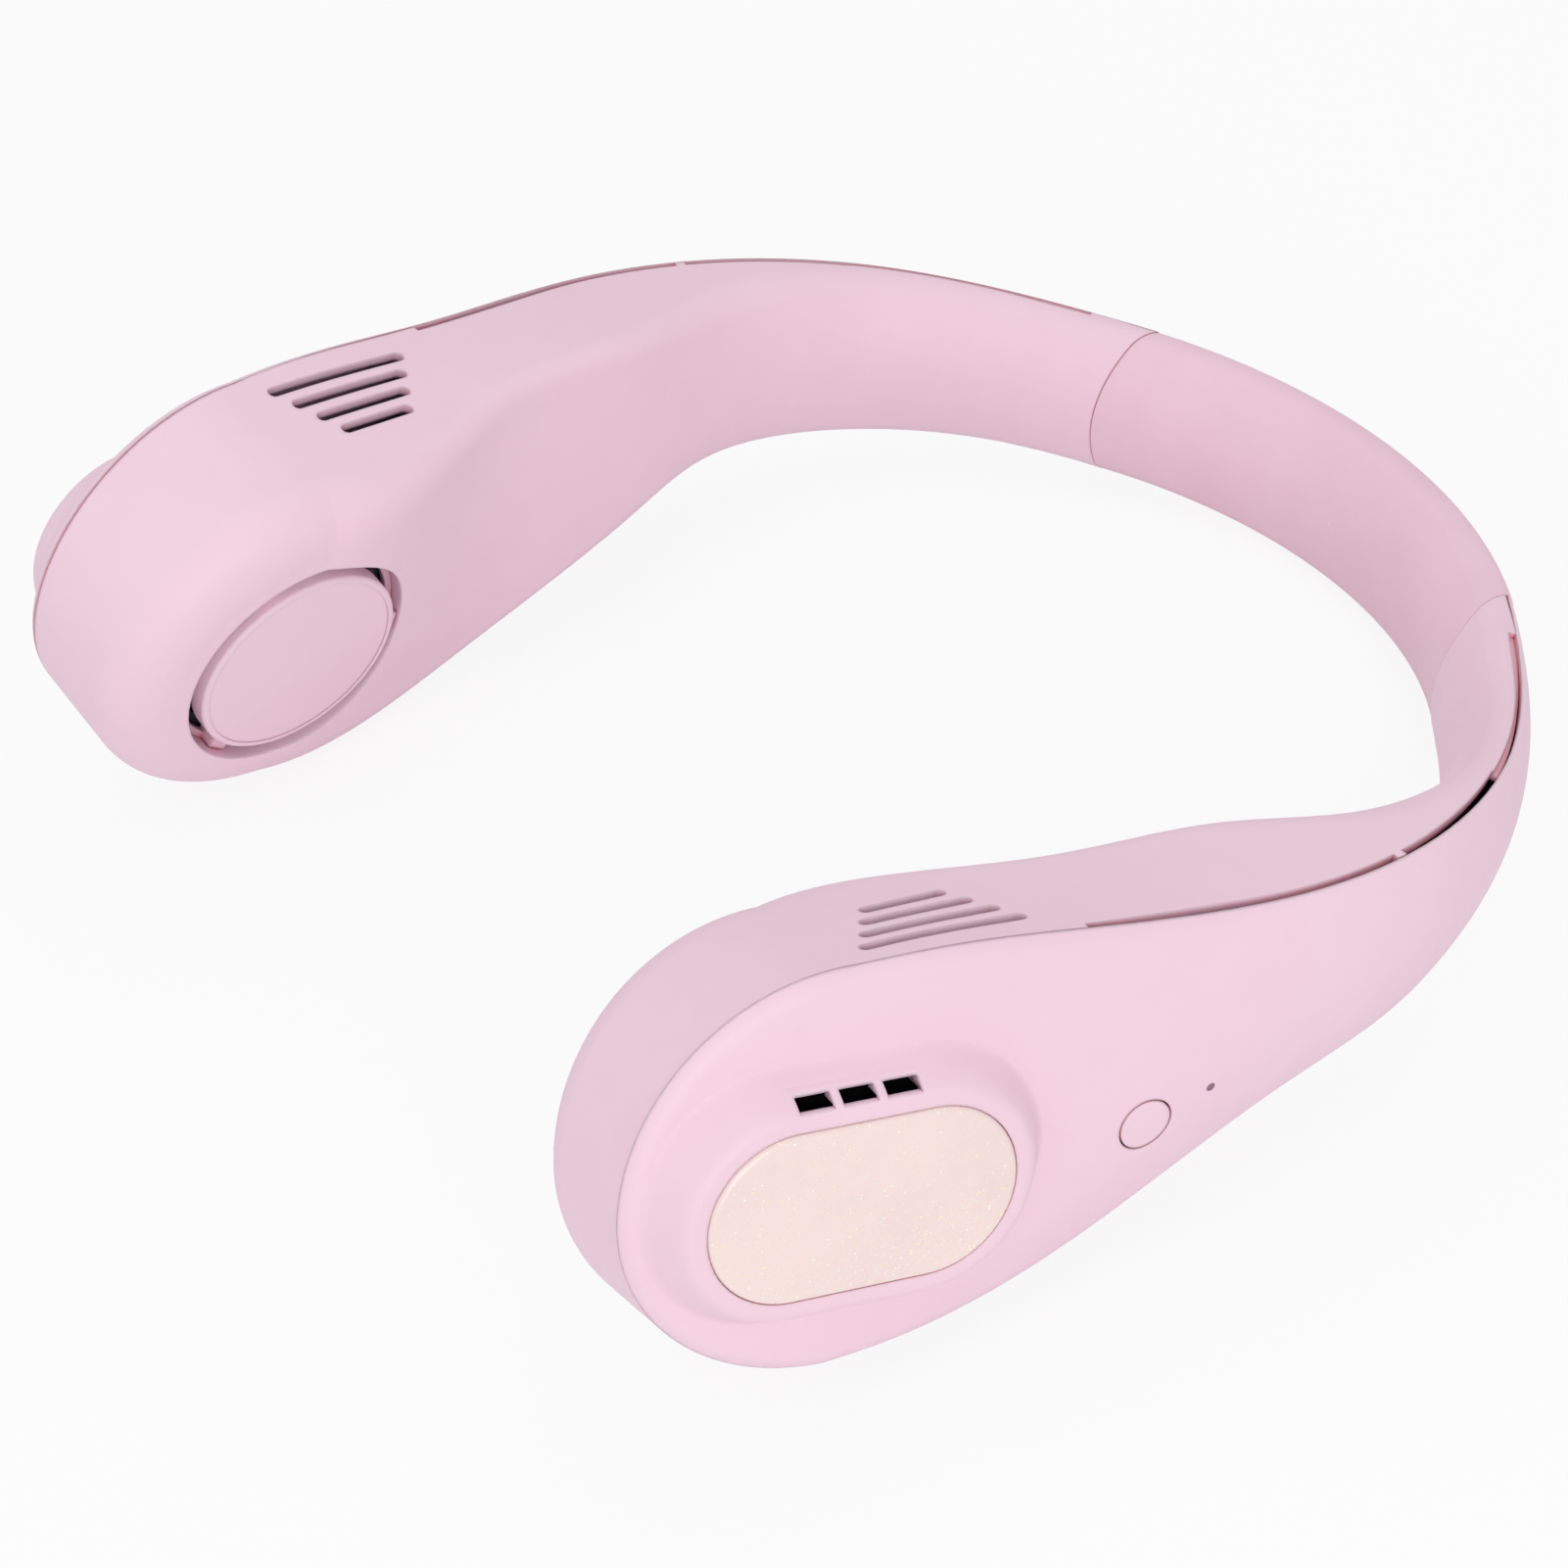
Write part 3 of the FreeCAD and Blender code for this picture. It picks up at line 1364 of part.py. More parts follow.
def usb_c_socket():
    """Charging socket: a flat metal shell with a thin contact tongue."""
    half = mm("socket_width") / 2
    wall = mm("socket_wall")
    outer_place = shifted(socket_frame(), -half, 0, 0)
    outer = box("socket_outer", "socket_width", "socket_length", "socket_thick", outer_place)
    hollow_place = shifted(socket_frame(), wall - half, -2 * wall, wall)
    hollow = box("socket_hollow", "socket_width-socket_wall-socket_wall", "socket_length",
                 "socket_thick-socket_wall-socket_wall", hollow_place)
    shell = cut("socket_shell", outer, hollow)
    lift = (mm("socket_thick") - mm("tongue_thick")) / 2
    place = shifted(socket_frame(), -mm("tongue_width") / 2, 3 * wall, lift)
    length = "socket_length-socket_wall-socket_wall-socket_wall"
    tongue = box("socket_tongue", "tongue_width", length, "tongue_thick", place)
    return fuse("usb_c_socket", [shell, tongue])


def charging_board():
    """Small board that carries the charging socket."""
    lift = mm("shell_wall+charge_board_lift-socket_recess")
    place = shifted(socket_frame(), -mm("charge_board_length") / 2, lift, mm("socket_thick"))
    return box("charging_board", "charge_board_length", "charge_board_height", "charge_board_thick", place)


# Band


def band_ring(corners):
    """Bar round the band's axis with (outward, up) corners in the band's section."""
    return band_form(polyline(band_frame, corners))


def channel(inset):
    """Corners of the band's inner channel, drawn in by an inset."""
    inner, outer = inset - mm("channel_inner"), mm("channel_outer") - inset
    top = -mm("channel_top") - inset
    foot = inset - mm("channel_top+channel_height")
    return [(inner, foot), (outer, foot), (outer, top), (inner, top)]


def spring_corners(grow):
    """Corners of the spring strip, or of its slot when grown."""
    middle = -mm("channel_top") - mm("channel_height") / 2
    half = mm("spring_height") / 2 + grow
    return [(-grow, middle - half), (mm("spring_thick") + grow, middle - half),
            (mm("spring_thick") + grow, middle + half), (-grow, middle + half)]


def leads_form(grow):
    """Round bundle of wires along the band, or its passage when grown."""
    middle = -mm("channel_top") - mm("channel_height") / 2
    centre = band_frame.multVec(Vector(0, middle, -mm("lead_depth")))
    axis = band_frame.Rotation.multVec(Vector(1, 0, 0))
    return band_form(Part.Wire(Part.makeCircle(mm("lead_radius") + grow, centre, axis)))


def band_clamp():
    """Plug in the arm's end with a tongue in the band, slotted for the spring strip and the wires."""
    start = seam + mm("seam_gap")
    fill = mm("shell_wall+clamp_gap")
    plug = arm_form(shell_outline, fan_axes, fill, 0.0)
    plug = plug.fuse(arm_form(cover_outline, pod_axes, mm("cover_wall+clamp_gap")))
    plug = plug.common(slab(start, start + mm("clamp_length")))
    gap = mm("fit_gap")
    tongue = band_ring(channel(gap)).common(slab(seam - mm("clamp_tongue"), start + mm("clamp_root")))
    solid = plug.fuse(tongue).cut(band_ring(spring_corners(gap))).cut(leads_form(gap))
    return feature("right_band_clamp", solid)


def neck_band():
    """Soft sleeve between the two seams, hollow for the spring strip and the wires."""
    return feature("neck_band", sleeve.cut(band_ring(channel(0.0))))


def band_core(name, form):
    """A piece that runs along the band and a little way into both arms."""
    reach = seam + mm("core_overrun")
    return feature(name, form.common(slab(-reach, reach)))


panel_axes = shifted(pod_axes, -mm("panel_ahead"), mm("panel_up"), 0, mm("panel_tilt"))

# Build


def build():
    """Make every piece and return the nodes in order."""
    shells = inner_shells()
    covers = outer_covers()
    paired = [decor_panel(), intake_cap(), impeller(), motor_rotor(), motor_stator(), motor_shaft(),
              motor_bearings(), motor_mount(), motor_screws(), volute(), volute_screws(), duct_floor(),
              battery(), band_clamp()]
    left = [mirror(piece.Name.replace("right_", "left_"), piece) for piece in paired]
    single = [main_board(), button_switch(), power_button(), status_led(), charging_board(), usb_c_socket(),
              neck_band(), band_core("band_spring", band_ring(spring_corners(0.0))),
              band_core("band_leads", leads_form(0.0))]
    return list(shells) + list(covers) + paired + left + single


def check(nodes):
    """Stop if an object failed or a node's shape is missing or faulty."""
    failed = [thing.Name for thing in doc.Objects if {"Invalid", "Error"} & set(thing.State)]
    faulty = [node.Name for node in nodes if node.Shape.isNull() or not node.Shape.isValid()]
    if failed or faulty:
        raise RuntimeError(f"failed objects {failed}, faulty nodes {faulty}")


nodes = build()
doc.recompute()
check(nodes)
os.makedirs("parts", exist_ok=True)
for node in nodes:
    node.Label = node.Name
    node.Shape.exportStep(f"parts/{node.Label}.step")
print(f"{len(nodes)} nodes, resting tilt {math.degrees(rest.Rotation.Angle):.2f} degrees")
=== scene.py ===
import json
import logging
import math
from dataclasses import dataclass, field
from enum import Enum

import bmesh
import bpy
from mathutils import Euler, Matrix, Vector

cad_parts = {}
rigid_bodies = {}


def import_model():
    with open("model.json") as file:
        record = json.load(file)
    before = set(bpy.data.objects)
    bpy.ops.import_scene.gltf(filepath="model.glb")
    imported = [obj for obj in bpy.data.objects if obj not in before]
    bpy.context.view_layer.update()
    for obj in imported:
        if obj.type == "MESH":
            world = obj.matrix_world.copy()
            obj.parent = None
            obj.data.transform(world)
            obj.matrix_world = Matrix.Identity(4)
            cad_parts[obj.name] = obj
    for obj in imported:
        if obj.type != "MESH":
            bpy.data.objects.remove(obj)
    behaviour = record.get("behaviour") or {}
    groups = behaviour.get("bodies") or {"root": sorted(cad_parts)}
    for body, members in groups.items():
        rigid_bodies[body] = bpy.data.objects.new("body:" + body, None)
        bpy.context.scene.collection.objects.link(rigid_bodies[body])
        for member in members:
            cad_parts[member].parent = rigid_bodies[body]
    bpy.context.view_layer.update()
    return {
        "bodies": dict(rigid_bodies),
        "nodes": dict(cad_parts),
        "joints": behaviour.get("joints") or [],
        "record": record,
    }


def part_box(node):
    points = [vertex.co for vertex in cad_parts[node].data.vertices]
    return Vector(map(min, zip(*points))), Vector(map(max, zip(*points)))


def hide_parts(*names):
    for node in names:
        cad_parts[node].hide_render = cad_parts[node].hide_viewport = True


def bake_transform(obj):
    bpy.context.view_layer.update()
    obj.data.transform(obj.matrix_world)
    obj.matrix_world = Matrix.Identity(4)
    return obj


MM = 0.001
LOG = logging.getLogger("neck_fan")

Socket = bpy.types.NodeSocket
Point2 = tuple[float, float]


class Side(Enum):
    """The two sides of the fan, with the sign of their X."""

    RIGHT = 1
    LEFT = -1

    @property
    def word(self) -> str:
        """Name of the side as the pieces and bodies carry it."""
        return self.name.lower()


class Slot(Enum):
    """Material slots of the record."""

    PINK_PLASTIC = "pink_plastic"
    GLITTER_RESIN = "glitter_resin"
    FAN_PLASTIC = "fan_plastic"
    DARK_PLASTIC = "dark_plastic"
    STEEL = "steel"
    CORE_STEEL = "core_steel"
    BRONZE = "bronze"
    CELL_FOIL = "cell_foil"
    BOARD_GREEN = "board_green"
    LIGHT_PIPE = "light_pipe"
    SOFT_BAND = "soft_band"
    LEAD_RUBBER = "lead_rubber"


@dataclass(frozen=True)
class Shade:
    """A colour as it shows on screen, each channel from 0 to 255."""

    red: float
    green: float
    blue: float

    def linear(self) -> tuple[float, float, float, float]:
        """Colour as a shader socket takes it."""
        return (*(self._straighten(value / 255) for value in (self.red, self.green, self.blue)), 1.0)

    @staticmethod
    def _straighten(value: float) -> float:
        """One channel without the screen's curve."""
        return value / 12.92 if value <= 0.04045 else ((value + 0.055) / 1.055) ** 2.4


class NodeSheet:
    """A node tree while it is being wired."""

    def __init__(self, tree: bpy.types.NodeTree) -> None:
        """Keep the tree.

        Args:
            tree: Tree of a material, a world or a node group.
        """
        self.tree = tree

    def add(self, kind: str, **settings: object) -> bpy.types.Node:
        """Add a node.

        Args:
            kind: Node type without its ShaderNode prefix.
            settings: Attributes of the node.

        Returns:
            The new node.
        """
        node = self.tree.nodes.new(kind if kind.startswith("NodeGroup") else "ShaderNode" + kind)
        for name, value in settings.items():
            setattr(node, name, value)
        return node

    def feed(self, target: Socket, value: object) -> None:
        """Link a socket into an input, or set the input to a plain value.

        Args:
            target: Input to feed.
            value: Socket, number, vector or colour.
        """
        if isinstance(value, bpy.types.NodeSocket):
            self.tree.links.new(value, target)
        else:
            target.default_value = value

    def math(self, operation: str, first: object, second: object = 0.0) -> Socket:
        """Two values joined by an arithmetic operation.

        Args:
            operation: Name of the operation.
            first: Socket or number.
            second: Socket or number.

        Returns:
            The result's socket.
        """
        node = self.add("Math", operation=operation)
        self.feed(node.inputs[0], first)
        self.feed(node.inputs[1], second)
        return node.outputs[0]

    def vector(self, operation: str, first: object, second: object = (0.0, 0.0, 0.0)) -> Socket:
        """Two vectors joined by an operation.

        Args:
            operation: Name of the operation.
            first: Socket or vector.
            second: Socket or vector.

        Returns:
            The result's socket: a value for a dot product, otherwise a vector.
        """
        node = self.add("VectorMath", operation=operation)
        self.feed(node.inputs[0], first)
        self.feed(node.inputs[1], second)
        return node.outputs["Value" if operation == "DOT_PRODUCT" else "Vector"]

    def grow(self, vector: object, factor: object) -> Socket:
        """A vector times a value.

        Args:
            vector: Socket or vector.
            factor: Socket or number.

        Returns:
            The longer or shorter vector's socket.
        """
        node = self.add("VectorMath", operation="SCALE")
        self.feed(node.inputs[0], vector)
        self.feed(node.inputs["Scale"], factor)
        return node.outputs["Vector"]

    def spread(self, value: object, low: float, high: float, start: float, end: float) -> Socket:
        """A value moved from one range to another and held inside it.

        Args:
            value: Socket or number.
            low: Start of the range that it comes from.
            high: End of the range that it comes from.
            start: Result at the start.
            end: Result at the end.

        Returns:
            The result's socket.
        """
        node = self.add("MapRange", clamp=True)
        for target, item in zip(node.inputs, (value, low, high, start, end)):
            self.feed(target, item)
        return node.outputs["Result"]

    def blend(self, share: object, first: object, second: object) -> Socket:
        """Two colours mixed.

        Args:
            share: Share of the second colour.
            first: Socket or colour.
            second: Socket or colour.

        Returns:
            The mixed colour's socket.
        """
        node = self.add("Mix", data_type="RGBA")
        for index, item in zip((0, 6, 7), (share, first, second)):
            self.feed(node.inputs[index], item)
        return node.outputs[2]

    def noise(self, vector: object, scale: object, detail: float = 3.0) -> Socket:
        """Cloudy noise.

        Args:
            vector: Place on the surface.
            scale: Clouds per metre.
            detail: Number of finer layers.

        Returns:
            The noise value's socket.
        """
        node = self.add("TexNoise")
        self.feed(node.inputs["Vector"], vector)
        self.feed(node.inputs["Scale"], scale)
        node.inputs["Detail"].default_value = detail
        return node.outputs[0]

    def cells(self, vector: object, scale: object) -> bpy.types.Node:
        """Field of round cells.

        Args:
            vector: Place on the surface.
            scale: Cells per metre.

        Returns:
            The cell node, with its Distance and Color outputs.
        """
        node = self.add("TexVoronoi")
        self.feed(node.inputs["Vector"], vector)
        self.feed(node.inputs["Scale"], scale)
        return node


class SharedEffects:
    """Node groups that several finishes use: grain, edges, painted shade in hollows, drifting tone, specks
    and flakes.
    """

    PIT_SHARE = 0.6
    SWELL_SCALE = 0.22
    RUB_CLOUDS = 420.0
    SHARP_TURN = (0.02, 0.2)
    PAINTED_SHADE_OCCLUSION_RANGE = (0.2, 0.8)
    BROAD_SHARE = 0.7
    CLOSE_SCALE = 7.0
    SPECK_SIZE = (0.05, 0.16)
    FLAKE_SIZE = 0.3
    COOL_LUCK = 0.8
    WARM_FLAKE = Shade(255, 236, 178)
    PALE_FLAKE = Shade(255, 250, 244)
    COOL_FLAKE = Shade(226, 246, 226)

    def __init__(self) -> None:
        """Build each group once."""
        self.grain = self._grain()
        self.edge = self._edge()
        self.hollow_painted_shade = self._hollow_painted_shade()
        self.drift = self._drift()
        self.specks = self._specks()
        self.flakes = self._flakes()

    @staticmethod
    def _open(name: str, takes: dict[str, str],
              gives: dict[str, str]) -> tuple[NodeSheet, dict[str, Socket], dict[str, Socket]]:
        """Start a group.

        Args:
            name: Name of the group.
            takes: Input names and their kinds.
            gives: Output names and their kinds.

        Returns:
            The sheet, the inputs' sockets and the outputs' sockets, by name.
        """
        tree = bpy.data.node_groups.new(name, "ShaderNodeTree")
        for label, kind in takes.items():
            tree.interface.new_socket(label, in_out="INPUT", socket_type="NodeSocket" + kind)
        for label, kind in gives.items():
            tree.interface.new_socket(label, in_out="OUTPUT", socket_type="NodeSocket" + kind)
        sheet = NodeSheet(tree)
        entry, leave = sheet.add("NodeGroupInput"), sheet.add("NodeGroupOutput")
        return sheet, {key: entry.outputs[key] for key in takes}, {key: leave.inputs[key] for key in gives}

    def _grain(self) -> bpy.types.NodeTree:
        """Fine moulded grain: small pits over a softer unevenness.

        Returns:
            Group with a Height and a Mask.
        """
        sheet, takes, gives = self._open(
            "moulding_grain", {"Vector": "Vector", "Scale": "Float"}, {"Height": "Float", "Mask": "Float"})
        pits = sheet.cells(takes["Vector"], takes["Scale"]).outputs["Distance"]
        swell = sheet.noise(takes["Vector"], sheet.math("MULTIPLY", takes["Scale"], self.SWELL_SCALE), 4.0)
        sheet.feed(gives["Height"], sheet.math("ADD", sheet.math("MULTIPLY", pits, self.PIT_SHARE), swell))
        sheet.feed(gives["Mask"], sheet.spread(swell, 0.35, 0.65, 0.0, 1.0))
        return sheet.tree

    def _edge(self) -> bpy.types.NodeTree:
        """Rubbed edges: where the surface turns sharply, broken up by noise.

        Returns:
            Group with a Mask.
        """
        sheet, takes, gives = self._open(
            "edge_rub", {"Vector": "Vector", "Radius": "Float"}, {"Mask": "Float"})
        rounded = sheet.add("Bevel", samples=4)
        sheet.feed(rounded.inputs["Radius"], takes["Radius"])
        flat = sheet.add("NewGeometry").outputs["Normal"]
        turn = sheet.math("SUBTRACT", 1.0, sheet.vector("DOT_PRODUCT", rounded.outputs[0], flat))
        broken = sheet.spread(sheet.noise(takes["Vector"], self.RUB_CLOUDS, 5.0), 0.3, 0.7, 0.35, 1.0)
        sharp = sheet.spread(turn, *self.SHARP_TURN, 0.0, 1.0)
        sheet.feed(gives["Mask"], sheet.math("MULTIPLY", sharp, broken))
        return sheet.tree

    def _hollow_painted_shade(self) -> bpy.types.NodeTree:
        """Painted shade: a deeper tint mixed into narrow gaps and hollows, standing in for light that bounces
        from wall to wall.

        Returns:
            Group with a Mask.
        """
        sheet, takes, gives = self._open("hollow_painted_shade_shade", {"Reach": "Float"}, {"Mask": "Float"})
        # Painted shade: ambient occlusion finds the gaps and hollows that get the deeper tint.
        painted_shade_occlusion = sheet.add("AmbientOcclusion", samples=8)
        sheet.feed(painted_shade_occlusion.inputs["Distance"], takes["Reach"])
        sheet.feed(gives["Mask"], sheet.spread(painted_shade_occlusion.outputs["AO"], *self.PAINTED_SHADE_OCCLUSION_RANGE, 1.0, 0.0))
        return sheet.tree

    def _drift(self) -> bpy.types.NodeTree:
        """Slow drift of tone over a piece, as from handling and uneven gloss.

        Returns:
            Group with a Mask.
        """
        sheet, takes, gives = self._open(
            "tone_drift", {"Vector": "Vector", "Scale": "Float"}, {"Mask": "Float"})
        broad = sheet.noise(takes["Vector"], takes["Scale"], 2.0)
        close = sheet.noise(takes["Vector"], sheet.math("MULTIPLY", takes["Scale"], self.CLOSE_SCALE), 4.0)
        both = sheet.math("ADD", sheet.math("MULTIPLY", broad, self.BROAD_SHARE),
                          sheet.math("MULTIPLY", close, 1 - self.BROAD_SHARE))
        sheet.feed(gives["Mask"], sheet.spread(both, 0.36, 0.64, 0.0, 1.0))
        return sheet.tree

    def _specks(self) -> bpy.types.NodeTree:
        """Sparse dust specks.

        Returns:
            Group with a Mask.
        """
        sheet, takes, gives = self._open(
            "dust_specks", {"Vector": "Vector", "Scale": "Float", "Share": "Float"}, {"Mask": "Float"})
        field_node = sheet.cells(takes["Vector"], takes["Scale"])
        chosen = sheet.math("LESS_THAN", sheet.vector("DOT_PRODUCT", field_node.outputs["Color"], (1, 0, 0)),
                            takes["Share"])
        small = sheet.spread(field_node.outputs["Distance"], *self.SPECK_SIZE, 1.0, 0.0)
        sheet.feed(gives["Mask"], sheet.math("MULTIPLY", chosen, small))
        return sheet.tree

    def _flakes(self) -> bpy.types.NodeTree:
        """Glitter: flat flakes that each lie a little tilted and have their own tint.

        Returns:
            Group with a Mask, a Tint and a Normal.
        """
        sheet, takes, gives = self._open(
            "glitter_flakes",
            {"Vector": "Vector", "Scale": "Float", "Share": "Float", "Tilt": "Float"},
            {"Mask": "Float", "Tint": "Color", "Normal": "Vector"})
        field_node = sheet.cells(takes["Vector"], takes["Scale"])
        luck = field_node.outputs["Color"]
        chosen = sheet.math("LESS_THAN", sheet.vector("DOT_PRODUCT", luck, (1, 0, 0)), takes["Share"])
        near = sheet.math("LESS_THAN", field_node.outputs["Distance"], self.FLAKE_SIZE)
        mask = sheet.math("MULTIPLY", chosen, near)
        warm = sheet.blend(sheet.vector("DOT_PRODUCT", luck, (0, 1, 0)),
                           self.WARM_FLAKE.linear(), self.PALE_FLAKE.linear())
        cool = sheet.math("GREATER_THAN", sheet.vector("DOT_PRODUCT", luck, (0, 0, 1)), self.COOL_LUCK)
        sheet.feed(gives["Tint"], sheet.blend(cool, warm, self.COOL_FLAKE.linear()))
        lean = sheet.grow(sheet.vector("SUBTRACT", luck, (0.5, 0.5, 0.5)),
                          sheet.math("MULTIPLY", mask, takes["Tilt"]))
        flat = sheet.add("NewGeometry").outputs["Normal"]
        sheet.feed(gives["Normal"], sheet.vector("NORMALIZE", sheet.vector("ADD", flat, lean)))
        sheet.feed(gives["Mask"], mask)
        return sheet.tree


class Bench:
    """A material being made: its sheet, its main shader and the shared effects."""

    def __init__(self, name: str, effects: SharedEffects) -> None:
        """Start an empty material.

        Args:
            name: Name of the material.
            effects: Shared node groups.
        """
        self.material = bpy.data.materials.new(name)
        self.material.use_nodes = True
        self.sheet = NodeSheet(self.material.node_tree)
        self.effects = effects
        self.shader = self.material.node_tree.nodes["Principled BSDF"]
        self.place = self.sheet.add("TexCoord").outputs["Object"]

    def put(self, socket: str, value: object) -> None:
        """Set or link an input of the main shader."""
        self.sheet.feed(self.shader.inputs[socket], value)

    def effect(self, group: bpy.types.NodeTree, **values: object) -> bpy.types.Node:
        """Place a shared group.

        Args:
            group: Group to place.
            values: Inputs of the group by name; a Vector is the place on the piece unless given.

        Returns:
            The group's node.
        """
        node = self.sheet.add("Group", node_tree=group)
        if "Vector" in node.inputs:
            values = {"Vector": self.place, **values}
        for name, value in values.items():
            self.sheet.feed(node.inputs[name], value)
        return node

    def bump(self, height: Socket, depth: float, under: Socket | None = None) -> None:
        """Raise the surface by a height.

        Args:
            height: Height from 0 to 1.
            depth: Depth of the relief in metres.
            under: Normal that the relief lies on.
        """
        node = self.sheet.add("Bump")
        node.inputs["Distance"].default_value = depth
        self.sheet.feed(node.inputs["Height"], height)
        if under is not None:
            self.sheet.feed(node.inputs["Normal"], under)
        self.put("Normal", node.outputs["Normal"])

    def rounding(self, radius: float) -> Socket:
        """Normal of the surface with its sharp edges softened.

        Args:
            radius: Radius of the softened edges in metres.

        Returns:
            The normal's socket.
        """
        node = self.sheet.add("Bevel", samples=6)
        node.inputs["Radius"].default_value = radius
        return node.outputs[0]


@dataclass(frozen=True)
class Plastic:
    """Moulded plastic or rubber: fine grain, a slow drift of tone and, if given, rubbed edges, painted shade
    in hollows and dust.

    Grain, relief, edge and reach are in millimetres, clouds and cells per metre.
    """

    slot: Slot
    colour: Shade
    deep: Shade
    roughness: tuple[float, float]
    grain: float
    relief: float
    rubbed: Shade | None = None
    edge: float = 0.5
    sheen: float = 0.0
    specular: float = 0.5
    dust: float = 0.0
    dust_tint: Shade = Shade(252, 240, 246)
    dust_cover: float = 0.45
    dust_cells: float = 310.0
    # Painted shade: colour and reach of the deeper tint laid into gaps and hollows.
    hollow_painted_shade: Shade | None = None
    hollow_painted_shade_reach: float = 2.4
    clouds: float = 22.0

    def make(self, effects: SharedEffects) -> bpy.types.Material:
        """Make the material.

        Args:
            effects: Shared node groups.

        Returns:
            The material.
        """
        bench = Bench(self.slot.value, effects)
        grain = bench.effect(effects.grain, Scale=1 / (self.grain * MM))
        drift = bench.effect(effects.drift, Scale=self.clouds)
        colour = bench.sheet.blend(drift.outputs["Mask"], self.deep.linear(), self.colour.linear())
        if self.rubbed:
            edge = bench.effect(effects.edge, Radius=self.edge * MM)
            colour = bench.sheet.blend(edge.outputs["Mask"], colour, self.rubbed.linear())
        # Painted shade: a deeper, redder tint mixed into the gaps and hollows that ambient occlusion finds.
        if self.hollow_painted_shade:
            painted_shade_occlusion = bench.effect(effects.hollow_painted_shade, Reach=self.hollow_painted_shade_reach * MM)
            colour = bench.sheet.blend(painted_shade_occlusion.outputs["Mask"], colour, self.hollow_painted_shade.linear())
        if self.dust:
            specks = bench.effect(effects.specks, Scale=self.dust_cells, Share=self.dust)
            pale = bench.sheet.math("MULTIPLY", specks.outputs["Mask"], self.dust_cover)
            colour = bench.sheet.blend(pale, colour, self.dust_tint.linear())
        bench.put("Base Color", colour)
        bench.put("Roughness", bench.sheet.spread(grain.outputs["Mask"], 0.0, 1.0, *self.roughness))
        bench.put("Specular IOR Level", self.specular)
        bench.put("Sheen Weight", self.sheen)
        under = bench.rounding(self.edge * MM) if self.rubbed else None
        bench.bump(grain.outputs["Height"], self.relief * MM, under)
        return bench.material


@dataclass(frozen=True)
class Resin:
    """Clear-coated resin panel with glitter set into it, denser towards its lower edge.

    The flake is in millimetres, clouds are per metre, and shares go from 0 to 1.
    """

    slot: Slot
    colour: Shade
    deep: Shade
    flake: float
    sparse: float
    dense: float
    tilt: float
    dense_zone: tuple[float, float] = (0.05, 0.45)
    fine_factor: float = 2.3
    clouds: float = 45.0
    metal: float = 0.75
    roughness: tuple[float, float] = (0.42, 0.2)
    coat: float = 0.8
    coat_roughness: float = 0.06

    def make(self, effects: SharedEffects) -> bpy.types.Material:
        """Make the material.

        Args:
            effects: Shared node groups.

        Returns:
            The material.
        """
        bench = Bench(self.slot.value, effects)
        split = bench.sheet.add("SeparateXYZ")
        bench.sheet.feed(split.inputs[0], bench.sheet.add("TexCoord").outputs["Generated"])
        share = bench.sheet.spread(split.outputs["Z"], *self.dense_zone, self.dense, self.sparse)
        coarse = bench.effect(effects.flakes, Scale=1 / (self.flake * MM), Share=share, Tilt=self.tilt)
        fine = bench.effect(effects.flakes, Scale=self.fine_factor / (self.flake * MM), Share=share,
                            Tilt=self.tilt)
        drift = bench.effect(effects.drift, Scale=self.clouds)
        colour = bench.sheet.blend(drift.outputs["Mask"], self.deep.linear(), self.colour.linear())
        for flakes in (fine, coarse):
            colour = bench.sheet.blend(flakes.outputs["Mask"], colour, flakes.outputs["Tint"])
        both = bench.sheet.math("MAXIMUM", coarse.outputs["Mask"], fine.outputs["Mask"])
        bench.put("Base Color", colour)
        bench.put("Metallic", bench.sheet.math("MULTIPLY", both, self.metal))
        bench.put("Roughness", bench.sheet.spread(both, 0.0, 1.0, *self.roughness))
        bench.put("Normal", coarse.outputs["Normal"])
        bench.put("Coat Weight", self.coat)
        bench.put("Coat Roughness", self.coat_roughness)
        return bench.material


@dataclass(frozen=True)
class Metal:
    """Bare metal with drawn lines, uneven polish and brighter edges.

    Lines, relief and edge are in millimetres, clouds per metre.
    """

    slot: Slot
    colour: Shade
    deep: Shade
    roughness: tuple[float, float]
    lines: float
    relief: float = 0.01
    line_length: float = 0.06
    edge: float = 0.2
    edge_tint: Shade = Shade(236, 236, 232)
    clouds: float = 90.0

    def make(self, effects: SharedEffects) -> bpy.types.Material:
        """Make the material.

        Args:
            effects: Shared node groups.

        Returns:
            The material.
        """
        bench = Bench(self.slot.value, effects)
        drawn = bench.sheet.vector("MULTIPLY", bench.place, (1.0, self.line_length, 1.0))
        grain = bench.effect(effects.grain, Vector=drawn, Scale=1 / (self.lines * MM))
        drift = bench.effect(effects.drift, Scale=self.clouds)
        edge = bench.effect(effects.edge, Radius=self.edge * MM)
        colour = bench.sheet.blend(drift.outputs["Mask"], self.deep.linear(), self.colour.linear())
        colour = bench.sheet.blend(edge.outputs["Mask"], colour, self.edge_tint.linear())
        bench.put("Base Color", colour)
        bench.put("Metallic", 1.0)
        bench.put("Roughness", bench.sheet.spread(grain.outputs["Mask"], 0.0, 1.0, *self.roughness))
        bench.bump(grain.outputs["Height"], self.relief * MM)
        return bench.material


